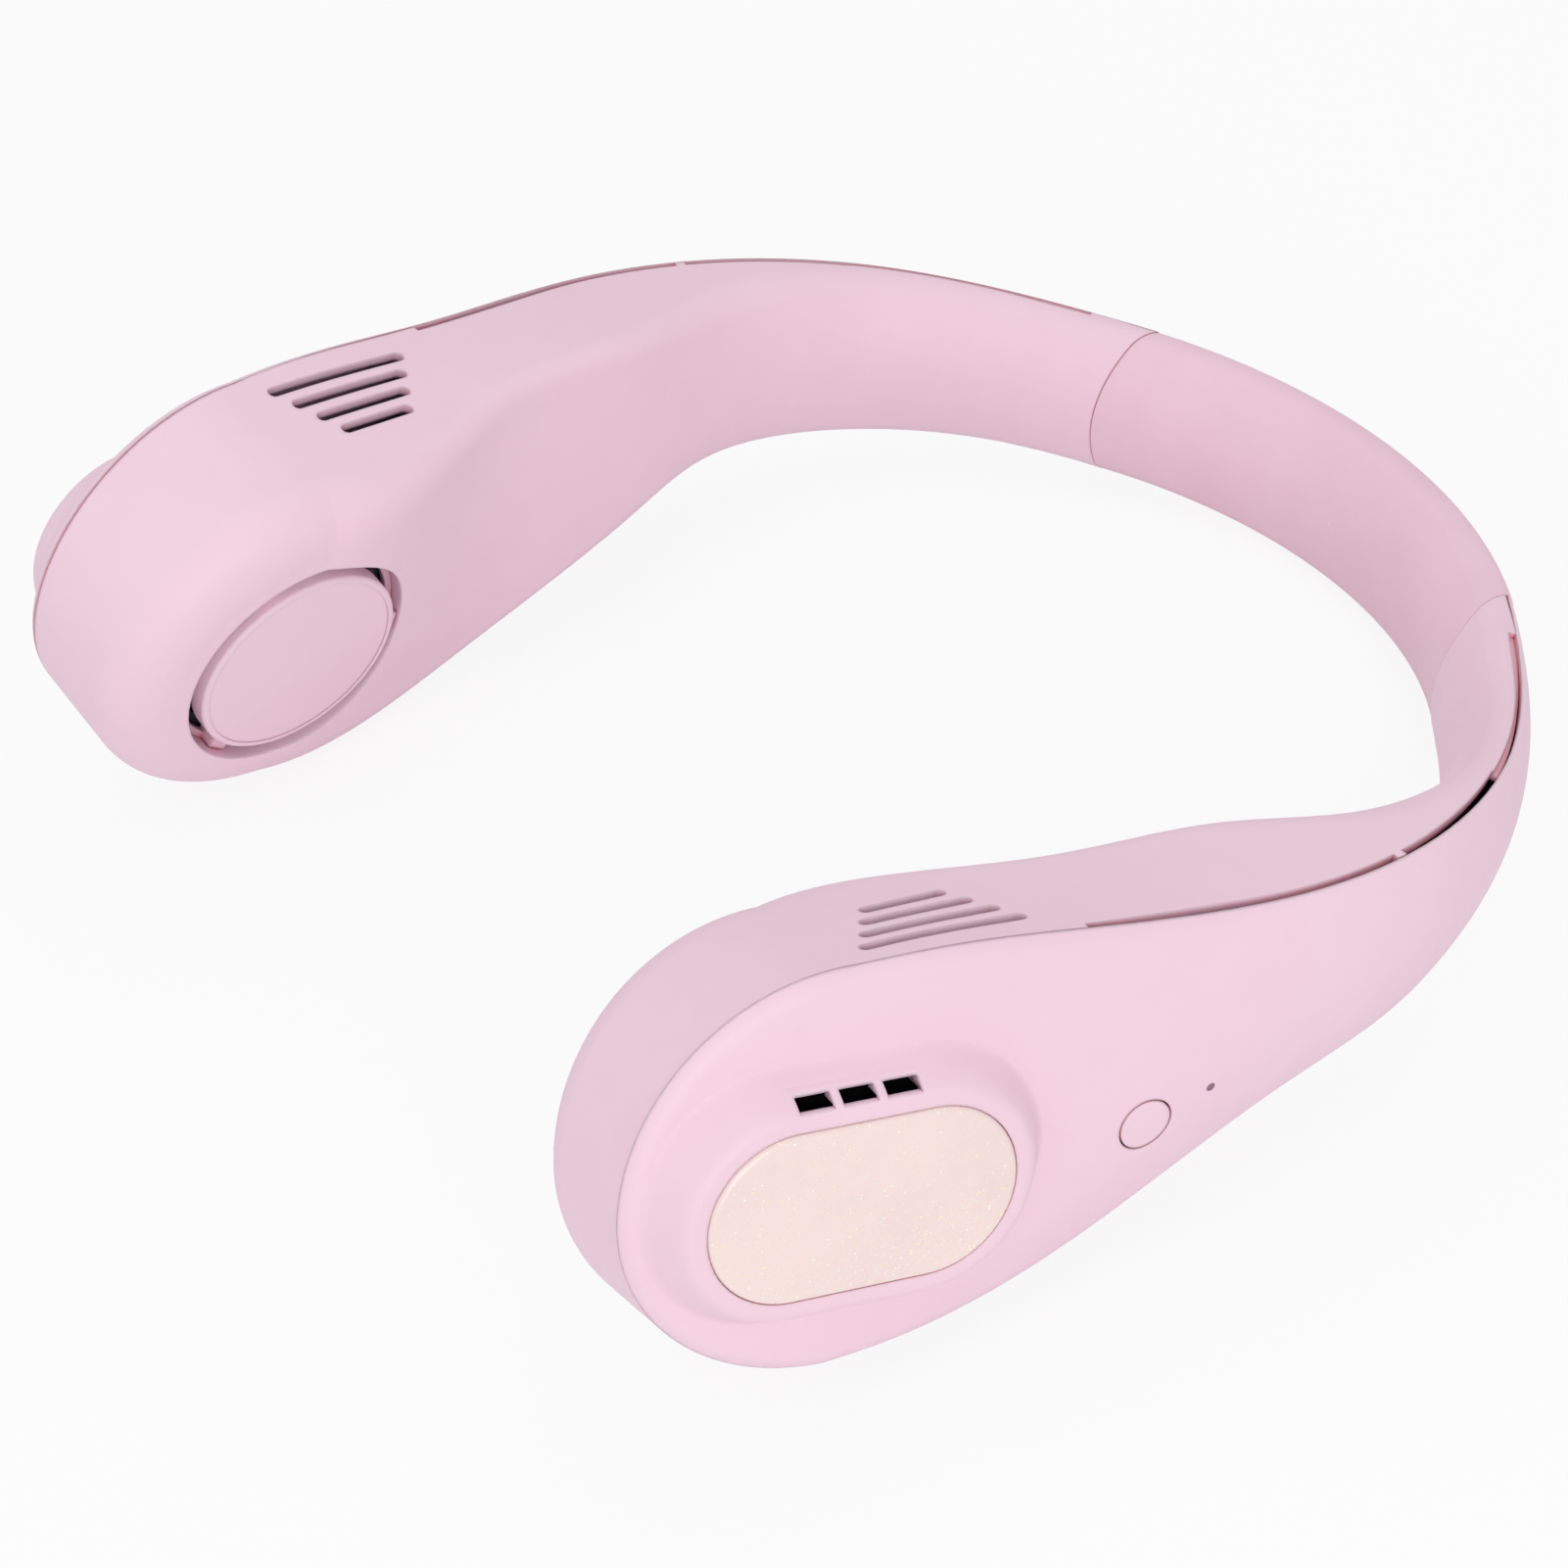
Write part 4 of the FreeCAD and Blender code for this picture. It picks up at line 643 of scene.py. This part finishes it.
@dataclass(frozen=True)
class Foil:
    """Crinkled shrink foil round the cells, with creases and clouds per metre and relief in millimetres."""

    slot: Slot
    colour: Shade
    deep: Shade
    creases: float = 240.0
    clouds: float = 60.0
    metal: float = 0.6
    roughness: tuple[float, float] = (0.22, 0.4)
    relief: float = 0.25

    def make(self, effects: SharedEffects) -> bpy.types.Material:
        """Make the material.

        Args:
            effects: Shared node groups.

        Returns:
            The material.
        """
        bench = Bench(self.slot.value, effects)
        creases = bench.effect(effects.grain, Scale=self.creases)
        drift = bench.effect(effects.drift, Scale=self.clouds)
        colour = bench.sheet.blend(drift.outputs["Mask"], self.deep.linear(), self.colour.linear())
        bench.put("Base Color", colour)
        bench.put("Metallic", self.metal)
        bench.put("Roughness", bench.sheet.spread(creases.outputs["Mask"], 0.0, 1.0, *self.roughness))
        bench.bump(creases.outputs["Height"], self.relief * MM)
        return bench.material


@dataclass(frozen=True)
class BoardLacquer:
    """Lacquered circuit board: raised tracks under green lacquer and bright pads.

    Cells are per metre, relief is in millimetres.
    """

    slot: Slot
    lacquer: Shade
    track: Shade
    pad: Shade
    track_cells: float = 620.0
    track_edge: tuple[float, float] = (0.42, 0.5)
    pad_cells: float = 480.0
    pad_share: float = 0.18
    pad_metal: float = 0.8
    roughness: tuple[float, float] = (0.28, 0.38)
    relief: float = 0.04

    def make(self, effects: SharedEffects) -> bpy.types.Material:
        """Make the material.

        Args:
            effects: Shared node groups.

        Returns:
            The material.
        """
        bench = Bench(self.slot.value, effects)
        field_node = bench.sheet.cells(bench.place, self.track_cells)
        field_node.distance = "MANHATTAN"
        tracks = bench.sheet.spread(field_node.outputs["Distance"], *self.track_edge, 0.0, 1.0)
        pads = bench.effect(effects.specks, Scale=self.pad_cells, Share=self.pad_share)
        colour = bench.sheet.blend(tracks, self.lacquer.linear(), self.track.linear())
        bench.put("Base Color", bench.sheet.blend(pads.outputs["Mask"], colour, self.pad.linear()))
        bench.put("Metallic", bench.sheet.math("MULTIPLY", pads.outputs["Mask"], self.pad_metal))
        bench.put("Roughness", bench.sheet.spread(tracks, 0.0, 1.0, *self.roughness))
        bench.bump(tracks, self.relief * MM)
        return bench.material


FINISHES: tuple[Plastic | Resin | Metal | Foil | BoardLacquer, ...] = (
    # The hollow colours below are painted shade for gaps and hollows.
    Plastic(Slot.PINK_PLASTIC, Shade(240, 208, 223), Shade(237, 204, 219), (0.46, 0.56), 0.32, 0.012,
            rubbed=Shade(246, 222, 233), edge=0.9, specular=0.4, hollow_painted_shade=Shade(226, 152, 164)),
    Plastic(Slot.SOFT_BAND, Shade(238, 203, 217), Shade(233, 197, 211), (0.62, 0.74), 0.45, 0.02,
            sheen=0.12, specular=0.3, dust=0.035, hollow_painted_shade=Shade(226, 152, 164)),
    Plastic(Slot.FAN_PLASTIC, Shade(58, 56, 60), Shade(44, 42, 46), (0.42, 0.55), 0.3, 0.01,
            rubbed=Shade(84, 82, 86)),
    Plastic(Slot.DARK_PLASTIC, Shade(46, 44, 48), Shade(36, 34, 38), (0.48, 0.62), 0.35, 0.015,
            rubbed=Shade(74, 72, 76)),
    Plastic(Slot.LIGHT_PIPE, Shade(150, 96, 112), Shade(132, 80, 96), (0.16, 0.24), 0.5, 0.004,
            rubbed=Shade(176, 128, 140), edge=0.2),
    Plastic(Slot.LEAD_RUBBER, Shade(60, 56, 58), Shade(46, 42, 45), (0.5, 0.64), 0.25, 0.01,
            rubbed=Shade(88, 84, 86), edge=0.2),
    Resin(Slot.GLITTER_RESIN, Shade(241, 220, 215), Shade(237, 213, 211), 0.6, 0.08, 0.36, 0.4),
    Metal(Slot.STEEL, Shade(204, 204, 206), Shade(184, 184, 188), (0.22, 0.36), 0.4),
    Metal(Slot.CORE_STEEL, Shade(132, 132, 138), Shade(108, 108, 116), (0.34, 0.5), 0.35),
    Metal(Slot.BRONZE, Shade(186, 142, 92), Shade(158, 114, 70), (0.32, 0.48), 0.3),
    Foil(Slot.CELL_FOIL, Shade(196, 202, 212), Shade(172, 180, 194)),
    BoardLacquer(Slot.BOARD_GREEN, Shade(24, 84, 58), Shade(40, 112, 78), Shade(212, 178, 110)),
)


class FinishBook:
    """The materials by slot."""

    def __init__(self) -> None:
        """Make every finish once."""
        effects = SharedEffects()
        self.materials = {finish.slot: finish.make(effects) for finish in FINISHES}

    def dress(self, piece: bpy.types.Object, slot: Slot) -> None:
        """Give a piece its finish.

        Args:
            piece: Piece to dress.
            slot: Slot of the record.
        """
        piece.data.materials.clear()
        piece.data.materials.append(self.materials[slot])
        LOG.info("%s: %s", piece.name, slot.value)


@dataclass
class DressedGroup:
    """Carried-over pieces of one sub-assembly and the finish of each."""

    nodes: dict[str, bpy.types.Object]
    finishes: dict[str, Slot] = field(default_factory=dict)

    def dress(self, book: FinishBook) -> None:
        """Dress each piece of the group.

        Args:
            book: The finishes.
        """
        for name, slot in self.finishes.items():
            book.dress(self.nodes[name], slot)


class Casing(DressedGroup):
    """Shell, cover, panel, intake cap and clamp of one side."""

    def __init__(self, nodes: dict[str, bpy.types.Object], side: Side) -> None:
        """List the side's casing pieces.

        Args:
            nodes: Pieces of the frame by name.
            side: Which side.
        """
        pieces = {
            "inner_shell": Slot.PINK_PLASTIC,
            "outer_cover": Slot.PINK_PLASTIC,
            "intake_cap": Slot.PINK_PLASTIC,
            "decor_panel": Slot.GLITTER_RESIN,
            "band_clamp": Slot.DARK_PLASTIC,
            "duct_floor": Slot.DARK_PLASTIC,
        }
        super().__init__(nodes, {f"{side.word}_{name}": slot for name, slot in pieces.items()})


class FanUnit(DressedGroup):
    """Motor, impeller and air guide of one side, with its battery."""

    def __init__(self, nodes: dict[str, bpy.types.Object], side: Side) -> None:
        """List the side's inner pieces.

        Args:
            nodes: Pieces of the frame by name.
            side: Which side.
        """
        pieces = {
            "impeller": Slot.FAN_PLASTIC,
            "motor_rotor": Slot.STEEL,
            "motor_shaft": Slot.STEEL,
            "motor_screws": Slot.STEEL,
            "motor_stator": Slot.CORE_STEEL,
            "motor_bearings": Slot.BRONZE,
            "motor_mount": Slot.DARK_PLASTIC,
            "volute": Slot.DARK_PLASTIC,
            "volute_screws": Slot.STEEL,
            "battery": Slot.CELL_FOIL,
        }
        super().__init__(nodes, {f"{side.word}_{name}": slot for name, slot in pieces.items()})


class Controls(DressedGroup):
    """Button, light, boards and charging socket in the right arm."""

    def __init__(self, nodes: dict[str, bpy.types.Object]) -> None:
        """List the control pieces.

        Args:
            nodes: Pieces of the frame by name.
        """
        super().__init__(nodes, {
            "power_button": Slot.PINK_PLASTIC,
            "status_led": Slot.LIGHT_PIPE,
            "button_switch": Slot.DARK_PLASTIC,
            "main_board": Slot.BOARD_GREEN,
            "charging_board": Slot.BOARD_GREEN,
            "usb_c_socket": Slot.STEEL,
        })


@dataclass
class NeckBand:
    """Soft sleeve behind the neck with its spring strip and wires, in two halves, one on each side.

    Sizes are in millimetres and degrees, in the band's own section: outward from the parting line and up from
    its top edge, on a ring of the given radius. The channel is given by its inner, outer, top and lower side,
    the strip by its thickness, its height and the easing of its corners.
    """

    radius: float = 89.03
    lean: float = -8.0
    half_height: float = 13.6
    depth: float = 8.0
    corner: float = 4.8
    neck_crown: float = 4.2
    bulge: float = 4.8
    edge_rise: float = 2.3
    edge_drop: float = 2.6
    groove: float = 0.28
    groove_slant: float = 0.2
    end_roll: float = 0.2
    roll_turns: tuple[float, ...] = (30, 60, 90)
    end: float = 47.35
    channel: tuple[float, float, float, float] = (-5.2, 1.6, -7.0, -20.4)
    strip: tuple[float, float, float] = (0.6, 10.6, 0.25)
    wire: float = 0.46
    wire_ring: float = 0.53
    wire_depth: float = 2.6
    wire_count: int = 3
    wire_sides: int = 12
    core_end: float = 53.5
    bend: tuple[float, float] = (2.0, 46.0)
    steps: int = 44
    seam_step: float = 0.002
    crown_steps: int = 8
    crease: float = 38

    def build(self, frame: dict, book: FinishBook) -> None:
        """Make both halves of each piece, dress them and put them in place of the frame's band pieces.

        Args:
            frame: The loaded frame.
            book: The finishes.
        """
        axis = next(Vector(joint["axis"]) for joint in frame["joints"] if joint["name"] == "right_arm_flex")
        tilt = Matrix.Rotation(math.atan2(-axis.y, axis.z), 4, "X")
        shift = self._settle(tilt)
        for side in Side:
            sleeve = self._sleeve(side)
            strip = self._bar(side, [self._strip_outline()], "spring_strip")
            wires = self._bar(side, self._wire_outlines(), "wires")
            pairs = ((sleeve, "neck_band", Slot.SOFT_BAND), (strip, "band_spring", Slot.STEEL),
                     (wires, "band_leads", Slot.LEAD_RUBBER))
            for piece, node, slot in pairs:
                piece.data.transform(shift @ tilt)
                book.dress(piece, slot)
                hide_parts(node)
                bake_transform(piece)

    def _settle(self, tilt: Matrix) -> Matrix:
        """Shift that brings the tilted sleeve to where the frame has its band.

        Args:
            tilt: Lean of the whole fan as it lies on the table.

        Returns:
            The shift.
        """
        rings = [self._point(Side.RIGHT, spot, self.end, share)
                 for spot in self._outline() for share in (0, 1)]
        low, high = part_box("neck_band")
        placed = [tilt @ Vector(point) for point in rings]
        move = Vector((0.0, 0.0, 0.0))
        for index in (1, 2):
            values = [point[index] for point in placed]
            move[index] = (low[index] + high[index]) / 2 - (min(values) + max(values)) / 2
        return Matrix.Translation(move)

    def _point(self, side: Side, spot: Point2, end: float, share: float) -> Vector:
        """Place of a section point along the band.

        Args:
            side: Which half.
            spot: Outward and up in the section.
            end: Distance of the half's end face from the middle plane.
            share: 0 at the middle of the band, 1 at the end face.

        Returns:
            The point in metres, round the band's own axis.
        """
        lean = math.radians(self.lean)
        out, up = spot
        reach = self.radius + out * math.cos(lean) - up * math.sin(lean)
        height = out * math.sin(lean) + up * math.cos(lean)
        angle = math.asin(end / reach) * share
        return Vector((side.value * reach * math.sin(angle), reach * math.cos(angle), height)) * MM

    def _shares(self) -> list[float]:
        """Stations along a half: very close to the middle plane first, so that both halves shade as one."""
        return [0.0, self.seam_step] + [step / self.steps for step in range(1, self.steps + 1)]

    def _outline(self) -> list[Point2]:
        """Section of the sleeve: flat top with a fine groove, round neck side, crowned outer side.

        Returns:
            Points round the section.
        """
        radius = self.half_height ** 2 / (2 * self.neck_crown)
        turn = math.asin((self.half_height - self.corner) / (radius - self.corner))
        centre = radius - self.depth
        edge = centre - (radius - self.corner) * math.cos(turn)
        upper = [(-self.groove, 0.0)]
        upper += self._arc((edge, -self.corner), self.corner, math.pi / 2, turn)
        upper += self._arc((centre, -self.half_height), radius, turn, 0.0)[1:]
        shell = upper + [(out, -2 * self.half_height - up) for out, up in reversed(upper[:-1])]
        crown = self._crown()
        cover = crown + [(out, -2 * self.half_height - up) for out, up in reversed(crown[:-1])]
        notch = (-self.groove * self.groove_slant, -self.groove)
        lower_notch = (notch[0], -2 * self.half_height - notch[1])
        return shell + [lower_notch] + cover[::-1] + [notch]

    @staticmethod
    def _arc(centre: Point2, radius: float, start: float, finish: float, steps: int = 10) -> list[Point2]:
        """Points of an arc on the side towards the neck.

        Args:
            centre: Middle of the circle.
            radius: Its radius.
            start: First angle above the level.
            finish: Last angle above the level.
            steps: Number of lengths.

        Returns:
            The points.
        """
        turns = [start + (finish - start) * step / steps for step in range(steps + 1)]
        return [(centre[0] - radius * math.cos(turn), centre[1] + radius * math.sin(turn)) for turn in turns]

    def _crown(self) -> list[Point2]:
        """Upper half of the outer side, from the top edge over the rounded edge to the middle of the dome.

        Returns:
            Points from the top edge down.
        """
        half = self.half_height - self.edge_drop
        sag = self.bulge - self.edge_rise
        dome = (half * half + sag * sag) / (2 * sag)
        normal = Vector((sag / dome - 1, -half / dome))
        chord = Vector((-self.edge_rise, self.edge_drop))
        size = chord.dot(chord) / (2 * normal.dot(chord))
        centre = Vector((self.edge_rise, -self.edge_drop)) + normal * size
        start = math.atan2(-centre.y, -centre.x)
        finish = math.atan2(-self.edge_drop - centre.y, self.edge_rise - centre.x)
        steps = range(1, self.crown_steps + 1)
        turns = [start + (finish - start) * step / self.crown_steps for step in steps]
        points = [(centre.x + abs(size) * math.cos(turn), centre.y + abs(size) * math.sin(turn))
                  for turn in turns]
        rest = [half * (1 - step / self.crown_steps) for step in steps]
        return points + [(self.bulge - dome + math.sqrt(dome * dome - up * up), up - self.half_height)
                         for up in rest]

    def _strip_outline(self) -> list[Point2]:
        """Section of the flat spring strip with eased corners."""
        thick, tall, ease = self.strip
        middle = (self.channel[2] + self.channel[3]) / 2
        low, high = middle - tall / 2, middle + tall / 2
        return [(0, low + ease), (ease, low), (thick - ease, low), (thick, low + ease),
                (thick, high - ease), (thick - ease, high), (ease, high), (0, high - ease)]

    def _wire_outlines(self) -> list[list[Point2]]:
        """Sections of the wires that lie together in the channel."""
        middle = (self.channel[2] + self.channel[3]) / 2
        corners = [step * 2 * math.pi / self.wire_sides for step in range(self.wire_sides)]
        outlines = []
        for index in range(self.wire_count):
            turn = math.radians(90 + 360 / self.wire_count * index)
            centre = (-self.wire_depth + self.wire_ring * math.cos(turn),
                      middle + self.wire_ring * math.sin(turn))
            outlines.append([(centre[0] + self.wire * math.cos(corner),
                              centre[1] + self.wire * math.sin(corner)) for corner in corners])
        return outlines

    def _skin(self, mesh: bmesh.types.BMesh, side: Side, outline: list[Point2],
              end: float, roll: float) -> tuple[list[bmesh.types.BMEdge], ...]:
        """Sweep an outline along one half of the band.

        Args:
            mesh: Mesh to add to.
            side: Which half.
            outline: Points round the section.
            end: Distance of the end face from the middle plane.
            roll: Rounding of the end's edge.

        Returns:
            The first and the last ring's edges.
        """
        rows = [[mesh.verts.new(self._point(side, spot, end - roll, share)) for spot in outline]
                for share in self._shares()]
        if roll:
            for turn in map(math.radians, self.roll_turns):
                inset = roll * (1 - math.cos(turn))
                out = end - roll + roll * math.sin(turn)
                rows.append([mesh.verts.new(self._point(side, spot, out, 1.0))
                             for spot in self._shrink(outline, inset)])
        count = len(outline)
        for row, following in zip(rows, rows[1:]):
            for index in range(count):
                after = (index + 1) % count
                mesh.faces.new((row[index], row[after], following[after], following[index]))
        return tuple([mesh.edges.get((ring[index], ring[(index + 1) % count])) for index in range(count)]
                     for ring in (rows[0], rows[-1]))

    @staticmethod
    def _shrink(outline: list[Point2], inset: float) -> list[Point2]:
        """Outline drawn in square to its edges.

        Args:
            outline: Points round the section.
            inset: How far they move in.

        Returns:
            The smaller outline.
        """
        count = len(outline)
        area = sum(outline[i][0] * outline[(i + 1) % count][1] - outline[(i + 1) % count][0] * outline[i][1]
                   for i in range(count))
        turn = 1.0 if area > 0 else -1.0
        points = []
        for index, spot in enumerate(outline):
            before, after = outline[index - 1], outline[(index + 1) % count]
            along = Vector((after[0] - before[0], after[1] - before[1])).normalized()
            points.append((spot[0] - along.y * inset * turn, spot[1] + along.x * inset * turn))
        return points

    def _sleeve(self, side: Side) -> bpy.types.Object:
        """Half of the sleeve with its inner channel.

        Args:
            side: Which half.

        Returns:
            The new piece.
        """
        inner, outer, top, foot = self.channel
        opening = [(inner, foot), (outer, foot), (outer, top), (inner, top)]
        mesh = bmesh.new()
        outside = self._skin(mesh, side, self._outline(), self.end, self.end_roll)
        inside = self._skin(mesh, side, opening, self.end, 0.0)
        for first, second in zip(outside, inside):
            bmesh.ops.bridge_loops(mesh, edges=first + second)
        return self._finish(mesh, f"{side.word}_band_sleeve")

    def _bar(self, side: Side, outlines: list[list[Point2]], word: str) -> bpy.types.Object:
        """Half of a bar or of a bundle that runs along the band into the arm.

        Args:
            side: Which half.
            outlines: Sections of its strands.
            word: Name of the piece.

        Returns:
            The new piece.
        """
        mesh = bmesh.new()
        for outline in outlines:
            for ring in self._skin(mesh, side, outline, self.core_end, 0.0):
                bmesh.ops.edgeloop_fill(mesh, edges=ring)
        return self._finish(mesh, f"{side.word}_band_{word}")

    def _finish(self, mesh: bmesh.types.BMesh, name: str) -> bpy.types.Object:
        """Turn a mesh into a smooth-shaded piece.

        Args:
            mesh: Mesh to use up.
            name: Name of the piece.

        Returns:
            The new piece.
        """
        bmesh.ops.recalc_face_normals(mesh, faces=mesh.faces)
        data = bpy.data.meshes.new(name)
        mesh.to_mesh(data)
        mesh.free()
        piece = bpy.data.objects.new(name, data)
        bpy.context.collection.objects.link(piece)
        data.shade_smooth()
        data.set_sharp_from_angle(angle=math.radians(self.crease))
        return piece


@dataclass(frozen=True)
class Softbox:
    """A square studio lamp: where it stands, where it points, its side and its power."""

    name: str
    place: tuple[float, float, float]
    side: float
    watts: float
    aim: tuple[float, float, float] = (0.0, 0.0, 0.03)

    def build(self) -> None:
        """Put the lamp in the scene."""
        lamp = bpy.data.lights.new(self.name, "AREA")
        lamp.shape = "SQUARE"
        lamp.size = self.side
        lamp.energy = self.watts
        stand = bpy.data.objects.new(self.name, lamp)
        stand.location = self.place
        stand.rotation_euler = (Vector(self.aim) - Vector(self.place)).to_track_quat("-Z", "Y").to_euler()
        bpy.context.collection.objects.link(stand)


@dataclass
class Studio:
    """Pale floor, soft light and the camera at the photograph's angle."""

    ambient: float = 0.68
    floor_side: float = 6.0
    floor_tone: float = 0.86
    floor_roughness: float = 0.9
    floor_glow: float = 0.86
    camera_place: tuple[float, float, float] = (0.549268, -0.335389, 0.577102)
    camera_turn: tuple[float, float, float] = (48.41298, 4.85923, 55.84074)
    lens: float = 118.051
    sensor: float = 36.0
    nearest: float = 0.05
    lamps: tuple[Softbox, ...] = (
        Softbox("front_box", (1.2, -0.55, 0.65), 0.9, 6.7),
        Softbox("top_box", (-0.3, 0.25, 1.5), 1.2, 2.8),
        Softbox("side_box", (-0.6, -1.2, 0.7), 0.8, 1.4),
    )

    def build(self) -> None:
        """Build floor, world, lamps and camera."""
        self._floor()
        self._world()
        for lamp in self.lamps:
            lamp.build()
        self._camera()
        bpy.context.scene.view_settings.view_transform = "Standard"

    @staticmethod
    def _seen(sheet: NodeSheet) -> Socket:
        """Mask of the rays that show the background: straight from the camera, mirrored or through glass.

        Args:
            sheet: Sheet to wire on.

        Returns:
            The mask's socket.
        """
        path = sheet.add("LightPath")
        seen = path.outputs["Is Camera Ray"]
        for name in ("Is Glossy Ray", "Is Transmission Ray"):
            seen = sheet.math("MAXIMUM", seen, path.outputs[name])
        return seen

    def _floor(self) -> None:
        """Pale floor that shows as white and keeps a faint shadow."""
        half = self.floor_side / 2
        data = bpy.data.meshes.new("floor")
        data.from_pydata([(-half, -half, 0), (half, -half, 0), (half, half, 0), (-half, half, 0)], [],
                         [(0, 1, 2, 3)])
        floor = bpy.data.objects.new("floor", data)
        bpy.context.collection.objects.link(floor)
        material = bpy.data.materials.new("pale_floor")
        material.use_nodes = True
        sheet = NodeSheet(material.node_tree)
        shader = material.node_tree.nodes["Principled BSDF"]
        shader.inputs["Base Color"].default_value = (self.floor_tone, self.floor_tone, self.floor_tone, 1.0)
        shader.inputs["Roughness"].default_value = self.floor_roughness
        shader.inputs["Specular IOR Level"].default_value = 0.0
        glow = sheet.add("Emission")
        both = sheet.add("MixShader")
        sheet.feed(both.inputs[0], sheet.math("MULTIPLY", self._seen(sheet), self.floor_glow))
        sheet.feed(both.inputs[1], shader.outputs[0])
        sheet.feed(both.inputs[2], glow.outputs[0])
        sheet.feed(material.node_tree.nodes["Material Output"].inputs["Surface"], both.outputs[0])
        data.materials.append(material)

    def _world(self) -> None:
        """Even light from all sides, seen as white."""
        world = bpy.data.worlds.new("studio")
        world.use_nodes = True
        bpy.context.scene.world = world
        sheet = NodeSheet(world.node_tree)
        sky = world.node_tree.nodes["Background"]
        sky.inputs["Color"].default_value = (1.0, 1.0, 1.0, 1.0)
        sheet.feed(sky.inputs["Strength"], sheet.spread(self._seen(sheet), 0.0, 1.0, self.ambient, 1.0))

    def _camera(self) -> None:
        """Camera at the photograph's place and lens."""
        data = bpy.data.cameras.new("camera")
        data.lens = self.lens
        data.sensor_width = self.sensor
        data.clip_start = self.nearest
        camera = bpy.data.objects.new("camera", data)
        camera.location = self.camera_place
        camera.rotation_euler = Euler([math.radians(angle) for angle in self.camera_turn], "XYZ")
        bpy.context.collection.objects.link(camera)
        bpy.context.scene.camera = camera


def main() -> None:
    """Load the frame, dress every piece, and build the band and the studio."""
    logging.basicConfig(level=logging.INFO, format="%(name)s %(message)s")
    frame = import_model()
    book = FinishBook()
    for side in Side:
        Casing(frame["nodes"], side).dress(book)
        FanUnit(frame["nodes"], side).dress(book)
    Controls(frame["nodes"]).dress(book)
    NeckBand().build(frame, book)
    Studio().build()


if __name__ == "__main__":
    main()
